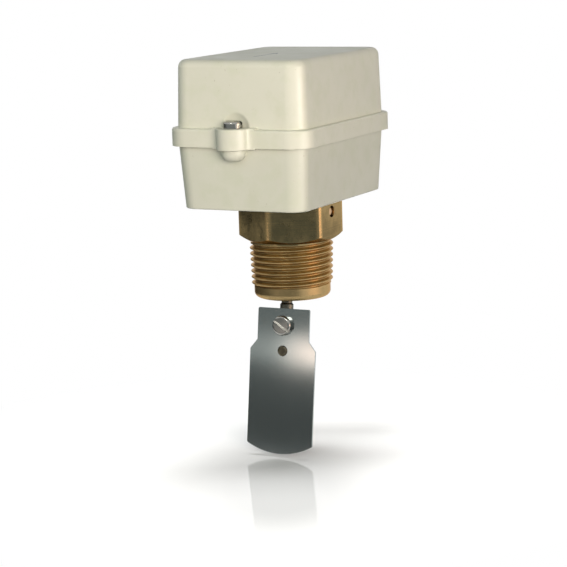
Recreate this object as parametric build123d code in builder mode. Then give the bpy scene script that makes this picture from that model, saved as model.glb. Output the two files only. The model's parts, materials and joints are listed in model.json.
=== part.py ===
from build123d import *
import os
from math import cos, radians, sin, sqrt

os.makedirs("parts", exist_ok=True)

# Pipe flow switch: a paddle on a sealed, pivoted arm works a microswitch in a moulded housing.
# Millimetres. Origin on the pipe thread's axis, at the underside of the hexagon.
# +Z is up, +Y is the flow direction and the side of the cable gland, X is the pivot axis.

# Brass body
hex_across_flats = 36.0
hex_height = 16.1
hex_corner_radius = 20.5
hex_bevel_height = 2.2
hex_face_step = 0.3
hex_top_bevel = 0.6
hex_corner_round = 0.5
thread_radius = 16.62
thread_length = 18.0
lead_radius = 15.1
lead_height = 4.9
lead_round = 2.2
spigot_radius = 11.0
pivot_bore_radius = 8.0
bellows_bore_radius = 11.5
bellows_shoulder_z = 2.6
pin_hole_end_radius = 2.3
pin_hole_end_depth = 1.4
pin_end_set = 0.5
pin_end_round = 1.0

# Pivot and arm
pivot_z = 11.3
rest_tilt = 8.5
pin_radius = 1.9
pin_fit = 0.02
running_fit = 0.05
hub_radius = 4.4
hub_width = 9.6
arm_radius = 2.15
arm_upper_radius = 2.6
arm_stud_radius = 2.0
collar_radius = 2.65
collar_height = 2.0
tang_width = 9.0
tang_depth = 4.0
tang_overrun = 4.6
tang_set = 0.4
washer_radius = 3.2
washer_thickness = 1.2
washer_gap = 0.1

# Paddle, measured down the arm from the pivot
paddle_offset = 1.64
paddle_thickness = 0.8
paddle_top = 38.9
paddle_shoulder_top = 51.6
paddle_shoulder_low = 55.3
paddle_corner = 92.7
paddle_lowest = 96.5
paddle_neck_width = 22.5
paddle_width = 28.5
paddle_corner_radius = 0.7
paddle_screw_down = 45.6
paddle_screw_radius = 2.0
paddle_screw_length = 5.0
paddle_head_radius = 4.0
paddle_head_height = 2.5
slot_width = 1.2
slot_depth = 1.3
slot_angle = -33.0
locating_pin_down = 55.7
locating_pin_radius = 2.05
locating_pin_dome = 0.7

# Bellows
bellows_outer = 7.0
bellows_inner = 5.5
bellows_wall = 0.35
bellows_folds = 7
bellows_cuff = 1.0
bellows_down = 24.0
bellows_cap_radius = 6.9
bellows_cap_height = 1.2
bellows_seat_height = 1.5
joint_gap = 0.05

# Housing base
wall = 2.5
floor = 2.5
body_gasket = 0.5
base_height = 28.6
base_half_x = 27.4
base_half_y = 39.25
housing_center_y = -4.7
corner_radius = 6.4
base_draft = 1.65
base_edge = 0.6
locknut_across_flats = 30.0
locknut_height = 3.0
spigot_overrun = 0.5
hole_gap = 0.1

# Cover
cover_gasket_height = 1.0
cover_gap = 0.05
skirt_gap = 0.3
band_proud = 2.2
band_lap = 4.4
band_height = 6.9
band_edge = 0.9
cover_rise = 28.1
cover_wall = 2.2
cover_draft = 0.8
cover_edge = 3.0
lug_radius = 6.35
lug_overhang = 0.6
lug_blend = 1.8
lug_shoulder = 0.9
lug_root = 3.2
lug_edge = 0.5
scoop_radius = 9.3
scoop_offset = 5.05
scoop_wall = 1.6
scoop_edge = 1.5
boss_radius = 4.7
boss_height = 4.2
boss_foot = 1.9
boss_lip = 0.8
cover_screw_radius = 1.75
cover_screw_hole = 2.1
cover_head_radius = 3.65
cover_head_height = 2.6
cover_screw_bite = 3.8

# Chassis bracket
sheet = 1.5
bracket_face_x = -5.15
bracket_front_gap = 1.0
bracket_height = 24.2
bracket_step_drop = 2.6
bracket_low_rise = 4.2
bracket_front_rise = 4.0
bracket_ramp_low = 8.0
bracket_ramp_high = 12.0
bracket_step_run = 6.0
bracket_foot_margin = 5.0
bracket_corner = 1.2
bracket_foot_reach = 14.5
bracket_shelf_width = 11.0
bracket_shelf_reach = 10.7
post_height = 4.3
post_radius = 3.6
post_rib = 1.6
post_x = -16.0
post_y_front = -24.0
post_y_back = 15.0
chassis_screw_radius = 1.5
chassis_screw_length = 5.5
chassis_head_radius = 2.9
chassis_head_height = 2.0
earth_screw_y = -6.0
earth_screw_radius = 2.0
earth_head_radius = 3.9
earth_head_height = 2.6
earth_clamp_size = 9.0
earth_clamp_thickness = 1.0

# Trip lever on top of the arm
lever_rise = 15.5
lever_thickness = 2.0
lever_width = 8.0
lever_front = 16.6
lever_back = 16.5
lever_nose_at = 15.0
lever_nose_height = 0.8
lever_nut_across_flats = 7.0
lever_nut_height = 3.2
lever_stud_overrun = 1.3

# Microswitch
switch_height = 15.9
switch_thickness = 10.3
switch_standoff = 6.45
switch_rise = 9.6
switch_edge = 0.6
switch_hole_radius = 1.55
switch_hole_span = 22.2
switch_hole_end = 2.8
switch_hole_rise = 3.0
switch_hole_skew = 10.3
switch_nut_across_flats = 5.5
switch_nut_height = 2.4
switch_screw_overrun = 0.6
switch_head_height = 1.8
switch_head_overhang = 1.1
leaf_pivot_in = 2.5
leaf_pivot_drop = 0.5
leaf_pin_radius = 0.5
leaf_knuckle = 0.95
leaf_thickness = 0.5
leaf_width = 6.0
leaf_drop = 0.6
leaf_overrun = 1.1
plunger_in = 8.0
plunger_radius = 1.3
plunger_drop = 0.4
plunger_depth = 6.0
terminal_pitch = 8.6
terminal_width = 6.4
terminal_rise = 1.0
terminal_reach = 9.0
terminal_screw_radius = 1.5
terminal_head_radius = 2.7
terminal_head_height = 1.9

# Range spring and its screw
spring_y = 13.4
spring_radius = 3.0
spring_wire = 0.45
spring_turns = 5.0
spring_clear = 0.15
range_screw_radius = 2.0
range_head_radius = 4.4
range_head_height = 3.2
range_clip_radius = 3.6
range_clip_height = 0.6
range_nut_size = 9.2
range_nut_height = 3.4
range_nut_gap = 0.35
range_nut_drop = 9.0
range_screw_length = 14.6

# Cable gland
gland_x = -11.3
gland_rise = 10.7
gland_thread_radius = 8.0
gland_across_flats = 18.0
gland_flange = 4.0
gland_thread_out = 7.0
gland_thread_inside = 1.0
gland_pad_radius = 10.6
gland_pad_depth = 1.3
gland_inner_pad = 0.7
gland_bore_radius = 4.6
gland_seal_radius = 6.2
gland_seal_bore = 3.6
gland_seal_length = 8.0
gland_nut_across_flats = 18.0
gland_nut_length = 9.5
gland_nut_bore = 4.2
gland_dome = 2.5
gland_locknut_across_flats = 18.0
gland_locknut_height = 3.0

# Derived places
base_z = hex_height + body_gasket
floor_z = base_z + floor
rim_z = base_z + base_height
step_z = rim_z + cover_gasket_height
spigot_top = floor_z + locknut_height + spigot_overrun
thread_end = -thread_length
lead_end = thread_end - lead_height
front_y = housing_center_y - base_half_y
back_y = housing_center_y + base_half_y
screw_offset = base_half_y + band_proud
draft_per_mm = base_draft / base_height
tilt = radians(rest_tilt)
band_bottom = rim_z - band_lap
band_top = band_bottom + band_height
cover_top = rim_z + cover_rise
lug_bottom = band_bottom - lug_overhang
lug_top = band_top + lug_overhang
bracket_foot_z = floor_z + post_height
bracket_top_z = bracket_foot_z + bracket_height
bracket_step_z = bracket_top_z - bracket_step_drop
bracket_low_z = bracket_foot_z + bracket_low_rise
switch_length = switch_hole_span + 2 * switch_hole_end
switch_front_y = front_y + switch_standoff
switch_bottom_z = bracket_foot_z + switch_rise
bracket_front_y = switch_front_y + bracket_front_gap
nose_y = (lever_rise + lever_thickness + lever_nose_height) * sin(tilt) - lever_nose_at * cos(tilt)
leaf_length = nose_y + leaf_overrun - switch_front_y - leaf_pivot_in
range_nut_z = bracket_top_z - range_nut_drop
range_screw_end_z = bracket_top_z - range_screw_length
gland_z = floor_z + gland_rise
seat_bottom = bellows_shoulder_z - bellows_seat_height
arm_pivot = (0, 0, pivot_z)

# Planes that lean with the arm: across it, and seen from the front
arm_plane = Plane(origin=arm_pivot, x_dir=(1, 0, 0), z_dir=(0, sin(tilt), cos(tilt)))
arm_front = Plane(origin=arm_pivot, x_dir=(1, 0, 0), z_dir=(0, -cos(tilt), sin(tilt)))
arm_side = Plane(origin=arm_pivot, x_dir=(0, cos(tilt), -sin(tilt)), z_dir=(1, 0, 0))


def drafted_block(low_z, low_x, low_y, low_r, high_z, high_x, high_y, high_r):
    """A block with rounded corners that tapers from its low outline to its high one."""
    with BuildPart() as block:
        with BuildSketch(Plane.XY.offset(low_z)):
            with Locations((0, housing_center_y)):
                RectangleRounded(2 * low_x, 2 * low_y, low_r)
        with BuildSketch(Plane.XY.offset(high_z)):
            with Locations((0, housing_center_y)):
                RectangleRounded(2 * high_x, 2 * high_y, high_r)
        loft()
    return block.part


def hexagon_radius(across_flats):
    """Corner radius of a hexagon from its size across the flats."""
    return across_flats / sqrt(3)


def wall_inset(height):
    """How far the base's drafted wall has moved in at a height."""
    return (rim_z - height) * draft_per_mm


# Brass body: hexagon, tapering pipe thread's envelope, spigot and bores
with BuildPart() as brass_body:
    with BuildSketch():
        RegularPolygon(hexagon_radius(hex_across_flats), 6, rotation=30)
    extrude(amount=hex_height)
    fillet(brass_body.edges().filter_by(Axis.Z), hex_corner_round)
    with BuildSketch(Plane.XZ):
        with BuildLine():
            Polyline(
                (0, 0),
                (thread_radius + hex_face_step, 0),
                (hex_corner_radius, hex_bevel_height),
                (hex_corner_radius, hex_height - hex_top_bevel),
                (hex_corner_radius - 1.5 * hex_top_bevel, hex_height),
                (0, hex_height),
                close=True,
            )
        make_face()
    revolve(axis=Axis.Z, mode=Mode.INTERSECT)
    with BuildSketch(Plane.XZ):
        with BuildLine():
            Polyline(
                (0, hex_height / 2),
                (0, lead_end),
                (lead_radius, lead_end),
                (lead_radius, thread_end),
                (thread_radius, thread_end),
                (thread_radius, hex_height / 2),
                close=True,
            )
        make_face()
    revolve(axis=Axis.Z)
    with BuildSketch(Plane.XY.offset(hex_height)):
        Circle(spigot_radius)
    extrude(amount=spigot_top - hex_height)
    with BuildSketch(Plane.XY.offset(lead_end)):
        Circle(bellows_bore_radius)
    extrude(amount=bellows_shoulder_z - lead_end, mode=Mode.SUBTRACT)
    with BuildSketch(Plane.XY.offset(bellows_shoulder_z)):
        Circle(pivot_bore_radius)
    extrude(amount=spigot_top - bellows_shoulder_z, mode=Mode.SUBTRACT)
    with BuildSketch(Plane.YZ):
        with Locations((0, pivot_z)):
            Circle(pin_radius + pin_fit)
    extrude(amount=hex_across_flats, both=True, mode=Mode.SUBTRACT)
    for face_x in (-hex_across_flats / 2, hex_across_flats / 2 - pin_hole_end_depth):
        with BuildSketch(Plane.YZ.offset(face_x)):
            with Locations((0, pivot_z)):
                Circle(pin_hole_end_radius)
        extrude(amount=pin_hole_end_depth, mode=Mode.SUBTRACT)
    lead_rim = brass_body.edges().filter_by(GeomType.CIRCLE).filter_by(
        lambda edge: abs(edge.center().Z - lead_end) < 0.01 and abs(edge.radius - lead_radius) < 0.01
    )
    fillet(lead_rim, lead_round)
brass_body.part.label = "brass_body"
export_step(brass_body.part, "parts/brass_body.step")

# Flat gasket between the hexagon and the housing floor
with BuildPart() as body_gasket_ring:
    with BuildSketch(Plane.XY.offset(hex_height)):
        Circle(hex_across_flats / 2 - 0.6)
        Circle(spigot_radius + hole_gap, mode=Mode.SUBTRACT)
    extrude(amount=body_gasket)
body_gasket_ring.part.label = "body_gasket"
export_step(body_gasket_ring.part, "parts/body_gasket.step")

# Lock nut that clamps the housing floor onto the brass body
with BuildPart() as body_locknut:
    with BuildSketch(Plane.XY.offset(floor_z)):
        RegularPolygon(hexagon_radius(locknut_across_flats), 6, rotation=30)
        Circle(spigot_radius + pin_fit, mode=Mode.SUBTRACT)
    extrude(amount=locknut_height)
    with BuildSketch(Plane.XZ):
        with BuildLine():
            Polyline(
                (0, floor_z),
                (hexagon_radius(locknut_across_flats), floor_z),
                (hexagon_radius(locknut_across_flats), floor_z + locknut_height - 1.0),
                (locknut_across_flats / 2, floor_z + locknut_height),
                (0, floor_z + locknut_height),
                close=True,
            )
        make_face()
    revolve(axis=Axis.Z, mode=Mode.INTERSECT)
body_locknut.part.label = "body_locknut"
export_step(body_locknut.part, "parts/body_locknut.step")

# Pivot pin across the hexagon
pin_half_length = hex_across_flats / 2 - pin_end_set
with BuildPart() as pivot_pin:
    with BuildSketch(Plane.YZ.offset(-pin_half_length)):
        with Locations((0, pivot_z)):
            Circle(pin_radius)
    extrude(amount=2 * pin_half_length)
    fillet(pivot_pin.edges().filter_by(GeomType.CIRCLE), pin_end_round)
pivot_pin.part.label = "pivot_pin"
export_step(pivot_pin.part, "parts/pivot_pin.step")

# Washers that keep the arm's hub centred on the pin
with BuildPart() as pivot_washers:
    for inner_x in (hub_width / 2 + washer_gap, -hub_width / 2 - washer_gap - washer_thickness):
        with BuildSketch(Plane.YZ.offset(inner_x)):
            with Locations((0, pivot_z)):
                Circle(washer_radius)
                Circle(pin_radius + pin_fit, mode=Mode.SUBTRACT)
        extrude(amount=washer_thickness)
pivot_washers.part.label = "pivot_washers"
export_step(pivot_washers.part, "parts/pivot_washers.step")

# Ring that carries the fixed end of the bellows against the body's shoulder
with BuildPart() as bellows_seat:
    with BuildSketch(Plane.XY.offset(seat_bottom)):
        Circle(bellows_bore_radius - joint_gap)
        Circle(bellows_inner, mode=Mode.SUBTRACT)
    extrude(amount=bellows_seat_height)
bellows_seat.part.label = "bellows_seat"
export_step(bellows_seat.part, "parts/bellows_seat.step")

# Bellows: folds that follow the arm from upright at the seat to leaning at the cap
cap_y = -bellows_down * sin(tilt)
cap_z = pivot_z - bellows_down * cos(tilt)


def bellows_station(share):
    """Plane across the bellows, from 0 at its seat to 1 at its cap."""
    bend = share * share * (3 - 2 * share)
    lean = tilt * share
    height = seat_bottom + (cap_z - seat_bottom) * share
    return Plane(origin=(0, cap_y * bend, height), x_dir=(1, 0, 0), z_dir=(0, sin(lean), cos(lean)))


def bellows_skin(inset):
    """Folded skin as radii at even stations, with a plain cuff at each end."""
    span = seat_bottom - cap_z
    cuff = bellows_cuff / span
    radii = [(0.0, bellows_outer - 0.6)]
    for fold in range(2 * bellows_folds + 1):
        share = cuff + (1 - 2 * cuff) * fold / (2 * bellows_folds)
        radii.append((share, bellows_outer if fold % 2 else bellows_inner + bellows_wall))
    radii.append((1.0, bellows_outer - 0.6))
    with BuildPart() as skin:
        for share, radius in radii:
            with BuildSketch(bellows_station(share)):
                Circle(radius - inset)
        loft(ruled=True)
    return skin.part


bellows_outside = bellows_skin(0)
bellows_inside = bellows_skin(bellows_wall)
with BuildPart() as bellows:
    add(bellows_outside)
    add(bellows_inside, mode=Mode.SUBTRACT)
bellows.part.label = "bellows"
export_step(bellows.part, "parts/bellows.step")

# Cap that closes the moving end of the bellows onto the arm
with BuildPart() as bellows_cap:
    with BuildSketch(arm_plane.offset(-bellows_down)):
        Circle(bellows_cap_radius)
        Circle(arm_radius + pin_fit, mode=Mode.SUBTRACT)
    extrude(amount=-bellows_cap_height)
    chamfer(bellows_cap.edges().filter_by(GeomType.CIRCLE).sort_by(Axis.Z)[0], 0.3)
bellows_cap.part.label = "bellows_cap"
export_step(bellows_cap.part, "parts/bellows_cap.step")

# Arm: hub, turned rod, collar and flat tang below, shouldered stud above
tang_top = -(paddle_top + tang_set)
tang_low = -(locating_pin_down + tang_overrun)
with BuildPart() as paddle_arm:
    with BuildSketch(Plane.YZ.offset(-hub_width / 2)):
        with Locations((0, pivot_z)):
            Circle(hub_radius)
    extrude(amount=hub_width)
    with BuildSketch(arm_front):
        with BuildLine():
            Polyline(
                (0, tang_top),
                (collar_radius, tang_top),
                (collar_radius, tang_top + collar_height),
                (arm_radius, tang_top + collar_height + 0.6),
                (arm_radius, 0),
                (arm_upper_radius, 0),
                (arm_upper_radius, lever_rise),
                (arm_stud_radius, lever_rise),
                (arm_stud_radius, lever_rise + lever_thickness + lever_nut_height + lever_stud_overrun),
                (0, lever_rise + lever_thickness + lever_nut_height + lever_stud_overrun),
                close=True,
            )
        make_face()
    revolve(axis=Axis(arm_pivot, (0, sin(tilt), cos(tilt))))
    with BuildSketch(arm_front.offset(paddle_offset)):
        with BuildLine():
            Line((-tang_width / 2, tang_top), (tang_width / 2, tang_top))
            Line((tang_width / 2, tang_top), (tang_width / 2, tang_low + tang_width / 2))
            ThreePointArc(
                (tang_width / 2, tang_low + tang_width / 2),
                (0, tang_low),
                (-tang_width / 2, tang_low + tang_width / 2),
            )
            Line((-tang_width / 2, tang_low + tang_width / 2), (-tang_width / 2, tang_top))
        make_face()
    extrude(amount=-tang_depth)
    with BuildSketch(arm_front.offset(paddle_offset)):
        with Locations((0, joint_gap - paddle_top)):
            Rectangle(tang_width, 2 * tang_set, align=(Align.CENTER, Align.MAX))
    extrude(amount=collar_radius, mode=Mode.SUBTRACT)
    with BuildSketch(arm_front.offset(paddle_offset)):
        with Locations((0, -paddle_screw_down)):
            Circle(paddle_screw_radius + pin_fit)
        with Locations((0, -locating_pin_down)):
            Circle(locating_pin_radius - 0.4 + pin_fit)
    extrude(amount=-tang_depth, mode=Mode.SUBTRACT)
    with BuildSketch(Plane.YZ.offset(-hub_width / 2)):
        with Locations((0, pivot_z)):
            Circle(pin_radius + running_fit)
    extrude(amount=hub_width, mode=Mode.SUBTRACT)
paddle_arm.part.label = "paddle_arm"
export_step(paddle_arm.part, "parts/paddle_arm.step")

# Paddle: stainless sheet with shouldered sides and a rounded foot
with BuildPart() as paddle:
    with BuildSketch(arm_front.offset(paddle_offset)) as paddle_outline:
        with BuildLine():
            Polyline(
                (-paddle_width / 2, -paddle_corner),
                (-paddle_width / 2, -paddle_shoulder_low),
                (-paddle_neck_width / 2, -paddle_shoulder_top),
                (-paddle_neck_width / 2, -paddle_top),
                (paddle_neck_width / 2, -paddle_top),
                (paddle_neck_width / 2, -paddle_shoulder_top),
                (paddle_width / 2, -paddle_shoulder_low),
                (paddle_width / 2, -paddle_corner),
            )
            ThreePointArc(
                (paddle_width / 2, -paddle_corner),
                (0, -paddle_lowest),
                (-paddle_width / 2, -paddle_corner),
            )
        make_face()
        fillet(paddle_outline.vertices(), paddle_corner_radius)
        with Locations((0, -paddle_screw_down)):
            Circle(paddle_screw_radius + hole_gap, mode=Mode.SUBTRACT)
        with Locations((0, -locating_pin_down)):
            Circle(locating_pin_radius + hole_gap, mode=Mode.SUBTRACT)
    extrude(amount=paddle_thickness)
paddle.part.label = "paddle"
export_step(paddle.part, "parts/paddle.step")

# Slotted pan-head screw that clamps the paddle to the tang
paddle_face = paddle_offset + paddle_thickness
with BuildPart() as paddle_screw:
    with BuildSketch(arm_front.offset(paddle_face)):
        with Locations((0, -paddle_screw_down)):
            Circle(paddle_head_radius)
    extrude(amount=paddle_head_height)
    fillet(paddle_screw.edges().filter_by(GeomType.CIRCLE).sort_by(Axis.Y)[0], 1.1)
    with BuildSketch(arm_front.offset(paddle_face)):
        with Locations((0, -paddle_screw_down)):
            Circle(paddle_screw_radius)
    extrude(amount=-paddle_screw_length)
    with BuildSketch(arm_front.offset(paddle_face + paddle_head_height)):
        with Locations((0, -paddle_screw_down)):
            Rectangle(4 * paddle_head_radius, slot_width, rotation=slot_angle)
    extrude(amount=-slot_depth, mode=Mode.SUBTRACT)
paddle_screw.part.label = "paddle_screw"
export_step(paddle_screw.part, "parts/paddle_screw.step")

# Domed pin that stops the paddle turning on its screw
with BuildPart() as locating_pin:
    with BuildSketch(arm_front.offset(paddle_offset)):
        with Locations((0, -locating_pin_down)):
            Circle(locating_pin_radius)
    extrude(amount=paddle_thickness + locating_pin_dome)
    fillet(locating_pin.edges().filter_by(GeomType.CIRCLE).sort_by(Axis.Y)[0], locating_pin_dome)
    with BuildSketch(arm_front.offset(paddle_offset)):
        with Locations((0, -locating_pin_down)):
            Circle(locating_pin_radius - 0.4)
    extrude(amount=-tang_depth)
locating_pin.part.label = "locating_pin"
export_step(locating_pin.part, "parts/locating_pin.step")

# Trip lever: a waisted plate across the arm, with a nose for the switch
with BuildPart() as trip_lever:
    with BuildSketch(arm_plane.offset(lever_rise)) as lever_outline:
        with BuildLine():
            Polyline(
                (-lever_width / 2 + 1.2, -lever_front),
                (lever_width / 2 - 1.2, -lever_front),
                (lever_width / 2, 0),
                (lever_width / 2, lever_back),
                (-lever_width / 2, lever_back),
                (-lever_width / 2, 0),
                close=True,
            )
        make_face()
        fillet(lever_outline.vertices(), 1.5)
        Circle(arm_stud_radius + pin_fit, mode=Mode.SUBTRACT)
    extrude(amount=lever_thickness)
    with BuildSketch(arm_side):
        with Locations((-lever_nose_at, lever_rise + lever_thickness)):
            Circle(lever_nose_height)
    extrude(amount=lever_width / 2 - 1.6, both=True)
trip_lever.part.label = "trip_lever"
export_step(trip_lever.part, "parts/trip_lever.step")

# Nut that holds the trip lever on the arm's stud
with BuildPart() as lever_nut:
    with BuildSketch(arm_plane.offset(lever_rise + lever_thickness)):
        RegularPolygon(hexagon_radius(lever_nut_across_flats), 6)
        Circle(arm_stud_radius + pin_fit, mode=Mode.SUBTRACT)
    extrude(amount=lever_nut_height)
lever_nut.part.label = "lever_nut"
export_step(lever_nut.part, "parts/lever_nut.step")

# Housing base: drafted tub with a flat floor, screw bosses, bracket posts and a gland pad
base_outside = drafted_block(
    base_z, base_half_x - base_draft, base_half_y - base_draft, corner_radius,
    rim_z, base_half_x, base_half_y, corner_radius,
)
floor_half_x = base_half_x - wall - wall_inset(floor_z)
floor_half_y = base_half_y - wall - wall_inset(floor_z)
base_inside = drafted_block(
    floor_z, floor_half_x, floor_half_y, corner_radius - wall,
    rim_z, base_half_x - wall, base_half_y - wall, corner_radius - wall,
)
boss_top = lug_bottom - cover_gap
gland_wall_y = back_y - wall_inset(gland_z)
gland_seat_y = gland_wall_y + gland_pad_depth
gland_wall_depth = gland_pad_depth + wall + gland_inner_pad
gland_axis_plane = Plane(origin=(gland_x, gland_seat_y, gland_z), x_dir=(1, 0, 0), z_dir=(0, 1, 0))
with BuildPart() as base_housing:
    add(base_outside)
    fillet(base_housing.faces().sort_by(Axis.Z)[0].edges(), base_edge)
    for side in (-1, 1):
        screw_y = housing_center_y + side * screw_offset
        boss_plane = Plane(origin=(0, screw_y, boss_top), x_dir=(1, 0, 0), z_dir=(0, -1, 0))
        with BuildSketch(boss_plane):
            with BuildLine():
                Line((0, 0), (boss_radius, 0))
                Line((boss_radius, 0), (boss_radius, -boss_lip))
                ThreePointArc(
                    (boss_radius, -boss_lip),
                    (boss_foot + 0.71 * (boss_radius - boss_foot), -boss_lip - 0.71 * (boss_height - boss_lip)),
                    (boss_foot, -boss_height),
                )
                Line((boss_foot, -boss_height), (0, -boss_height))
                Line((0, -boss_height), (0, 0))
            make_face()
        revolve(axis=Axis((0, screw_y, boss_top), (0, 0, 1)))
    with BuildSketch(gland_axis_plane):
        Circle(gland_pad_radius)
    extrude(amount=-(gland_pad_depth + wall))
    add(base_inside, mode=Mode.SUBTRACT)
    with BuildSketch(gland_axis_plane.offset(-gland_wall_depth)):
        Circle(gland_pad_radius)
    extrude(amount=gland_inner_pad + wall / 2)
    with BuildSketch(Plane.XY.offset(floor_z)):
        with Locations((post_x, post_y_front), (post_x, post_y_back)):
            Circle(post_radius)
        with Locations((-(floor_half_x - post_x) / 2, post_y_front), (-(floor_half_x - post_x) / 2, post_y_back)):
            Rectangle(floor_half_x + post_x, post_rib)
    extrude(amount=bracket_foot_z - floor_z)
    with BuildSketch(Plane.XY.offset(bracket_foot_z)):
        with Locations((post_x, post_y_front), (post_x, post_y_back)):
            Circle(chassis_screw_radius + pin_fit)
    extrude(amount=-chassis_screw_length, mode=Mode.SUBTRACT)
    with BuildSketch(Plane.XY.offset(base_z)):
        Circle(spigot_radius + hole_gap)
    extrude(amount=floor, mode=Mode.SUBTRACT)
    with BuildSketch(gland_axis_plane):
        Circle(gland_thread_radius + hole_gap)
    extrude(amount=-(gland_wall_depth + wall), mode=Mode.SUBTRACT)
    with BuildSketch(Plane.XY.offset(boss_top)):
        for side in (-1, 1):
            with Locations((0, housing_center_y + side * screw_offset)):
                Circle(cover_screw_radius + running_fit)
    extrude(amount=-cover_screw_bite, mode=Mode.SUBTRACT)
base_housing.part.label = "base_housing"
export_step(base_housing.part, "parts/base_housing.step")


# Lugs that carry the cover screws at the two ends of the band
def screw_lug(side):
    """Half-round lug on the band's face, blended into it, for the end at -Y (side -1) or +Y (side 1)."""
    face_y = housing_center_y + side * screw_offset
    with BuildPart() as lug:
        with BuildSketch(Plane.XY.offset(lug_bottom)) as outline:
            with Locations((0, face_y - side * lug_root / 2)):
                Rectangle(2 * (lug_radius + lug_blend + lug_shoulder), lug_root)
            with Locations((0, face_y)):
                Circle(lug_radius)
            corners = outline.vertices().filter_by(
                lambda corner: abs(corner.Y - face_y) < 0.01 and abs(abs(corner.X) - lug_radius) < 0.01
            )
            fillet(corners, lug_blend)
        extrude(amount=lug_top - lug_bottom)
        fillet(lug.faces().sort_by(Axis.Z)[-1].edges(), lug_edge)
        fillet(lug.faces().sort_by(Axis.Z)[0].edges(), lug_edge)
    return lug.part


# Cover: drafted box with a proud lapped band, screw lugs and scoops for the screw heads
cover_outside = drafted_block(
    band_bottom, base_half_x, base_half_y, corner_radius,
    cover_top, base_half_x - cover_draft, base_half_y - cover_draft, corner_radius,
)
skirt_inside = drafted_block(
    lug_bottom - 1, base_half_x + skirt_gap, base_half_y + skirt_gap, corner_radius + skirt_gap,
    step_z, base_half_x + skirt_gap, base_half_y + skirt_gap, corner_radius + skirt_gap,
)
cover_cavity = drafted_block(
    step_z, base_half_x - cover_wall, base_half_y - cover_wall, corner_radius - cover_wall,
    cover_top - cover_wall, base_half_x - cover_wall - cover_draft, base_half_y - cover_wall - cover_draft,
    corner_radius - cover_wall,
)
with BuildPart() as cover_inside:
    add(cover_cavity)
    for side in (-1, 1):
        with Locations((0, housing_center_y + side * (screw_offset + scoop_offset), lug_top)):
            Sphere(scoop_radius + scoop_wall, mode=Mode.SUBTRACT)
with BuildPart() as cover:
    with BuildSketch(Plane.XY.offset(band_bottom)):
        with Locations((0, housing_center_y)):
            RectangleRounded(
                2 * (base_half_x + band_proud),
                2 * (base_half_y + band_proud),
                corner_radius + band_proud,
            )
    extrude(amount=band_top - band_bottom)
    fillet(cover.faces().sort_by(Axis.Z)[-1].edges(), band_edge)
    for side in (-1, 1):
        add(screw_lug(side))
    add(cover_outside)
    fillet(cover.faces().sort_by(Axis.Z)[-1].edges(), cover_edge)
    add(skirt_inside, mode=Mode.SUBTRACT)
    add(cover_inside.part, mode=Mode.SUBTRACT)
    for side in (-1, 1):
        with Locations((0, housing_center_y + side * (screw_offset + scoop_offset), lug_top)):
            Sphere(
                scoop_radius, arc_size1=0, align=(Align.CENTER, Align.CENTER, Align.MIN), mode=Mode.SUBTRACT
            )
        with BuildSketch(Plane.XY.offset(lug_bottom)):
            with Locations((0, housing_center_y + side * screw_offset)):
                Circle(cover_screw_hole)
        extrude(amount=lug_top - lug_bottom, mode=Mode.SUBTRACT)
    scoop_rims = cover.edges().filter_by(
        lambda edge: abs(edge.center().X) < 0.1 and lug_top + 1 < edge.center().Z < lug_top + scoop_radius
        and abs(edge.center().Y - housing_center_y) > base_half_y - 1
    )
    fillet(scoop_rims, scoop_edge)
cover.part.label = "cover"
export_step(cover.part, "parts/cover.step")

# Gasket ring on the base's rim
with BuildPart() as cover_gasket:
    with BuildSketch(Plane.XY.offset(rim_z + cover_gap)):
        with Locations((0, housing_center_y)):
            RectangleRounded(2 * base_half_x, 2 * base_half_y, corner_radius)
            RectangleRounded(
                2 * (base_half_x - cover_wall), 2 * (base_half_y - cover_wall), corner_radius - cover_wall,
                mode=Mode.SUBTRACT,
            )
    extrude(amount=cover_gasket_height - cover_gap)
cover_gasket.part.label = "cover_gasket"
export_step(cover_gasket.part, "parts/cover_gasket.step")

# Two captive screws through the lugs into the base's bosses
with BuildPart() as cover_screws:
    with BuildSketch(Plane.XY.offset(lug_top)):
        for side in (-1, 1):
            with Locations((0, housing_center_y + side * screw_offset)):
                Circle(cover_head_radius)
    extrude(amount=cover_head_height)
    fillet(cover_screws.edges().filter_by(GeomType.CIRCLE).group_by(Axis.Z)[-1], 0.8)
    with BuildSketch(Plane.XY.offset(lug_top)):
        for side in (-1, 1):
            with Locations((0, housing_center_y + side * screw_offset)):
                Circle(cover_screw_radius)
    extrude(amount=-(lug_top - boss_top + cover_screw_bite - 0.5))
    with BuildSketch(Plane.XY.offset(lug_top + cover_head_height)):
        for side in (-1, 1):
            with Locations((0, housing_center_y + side * screw_offset)):
                Rectangle(4 * cover_head_radius, slot_width)
    extrude(amount=-slot_depth, mode=Mode.SUBTRACT)
cover_screws.part.label = "cover_screws"
export_step(cover_screws.part, "parts/cover_screws.step")

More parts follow.
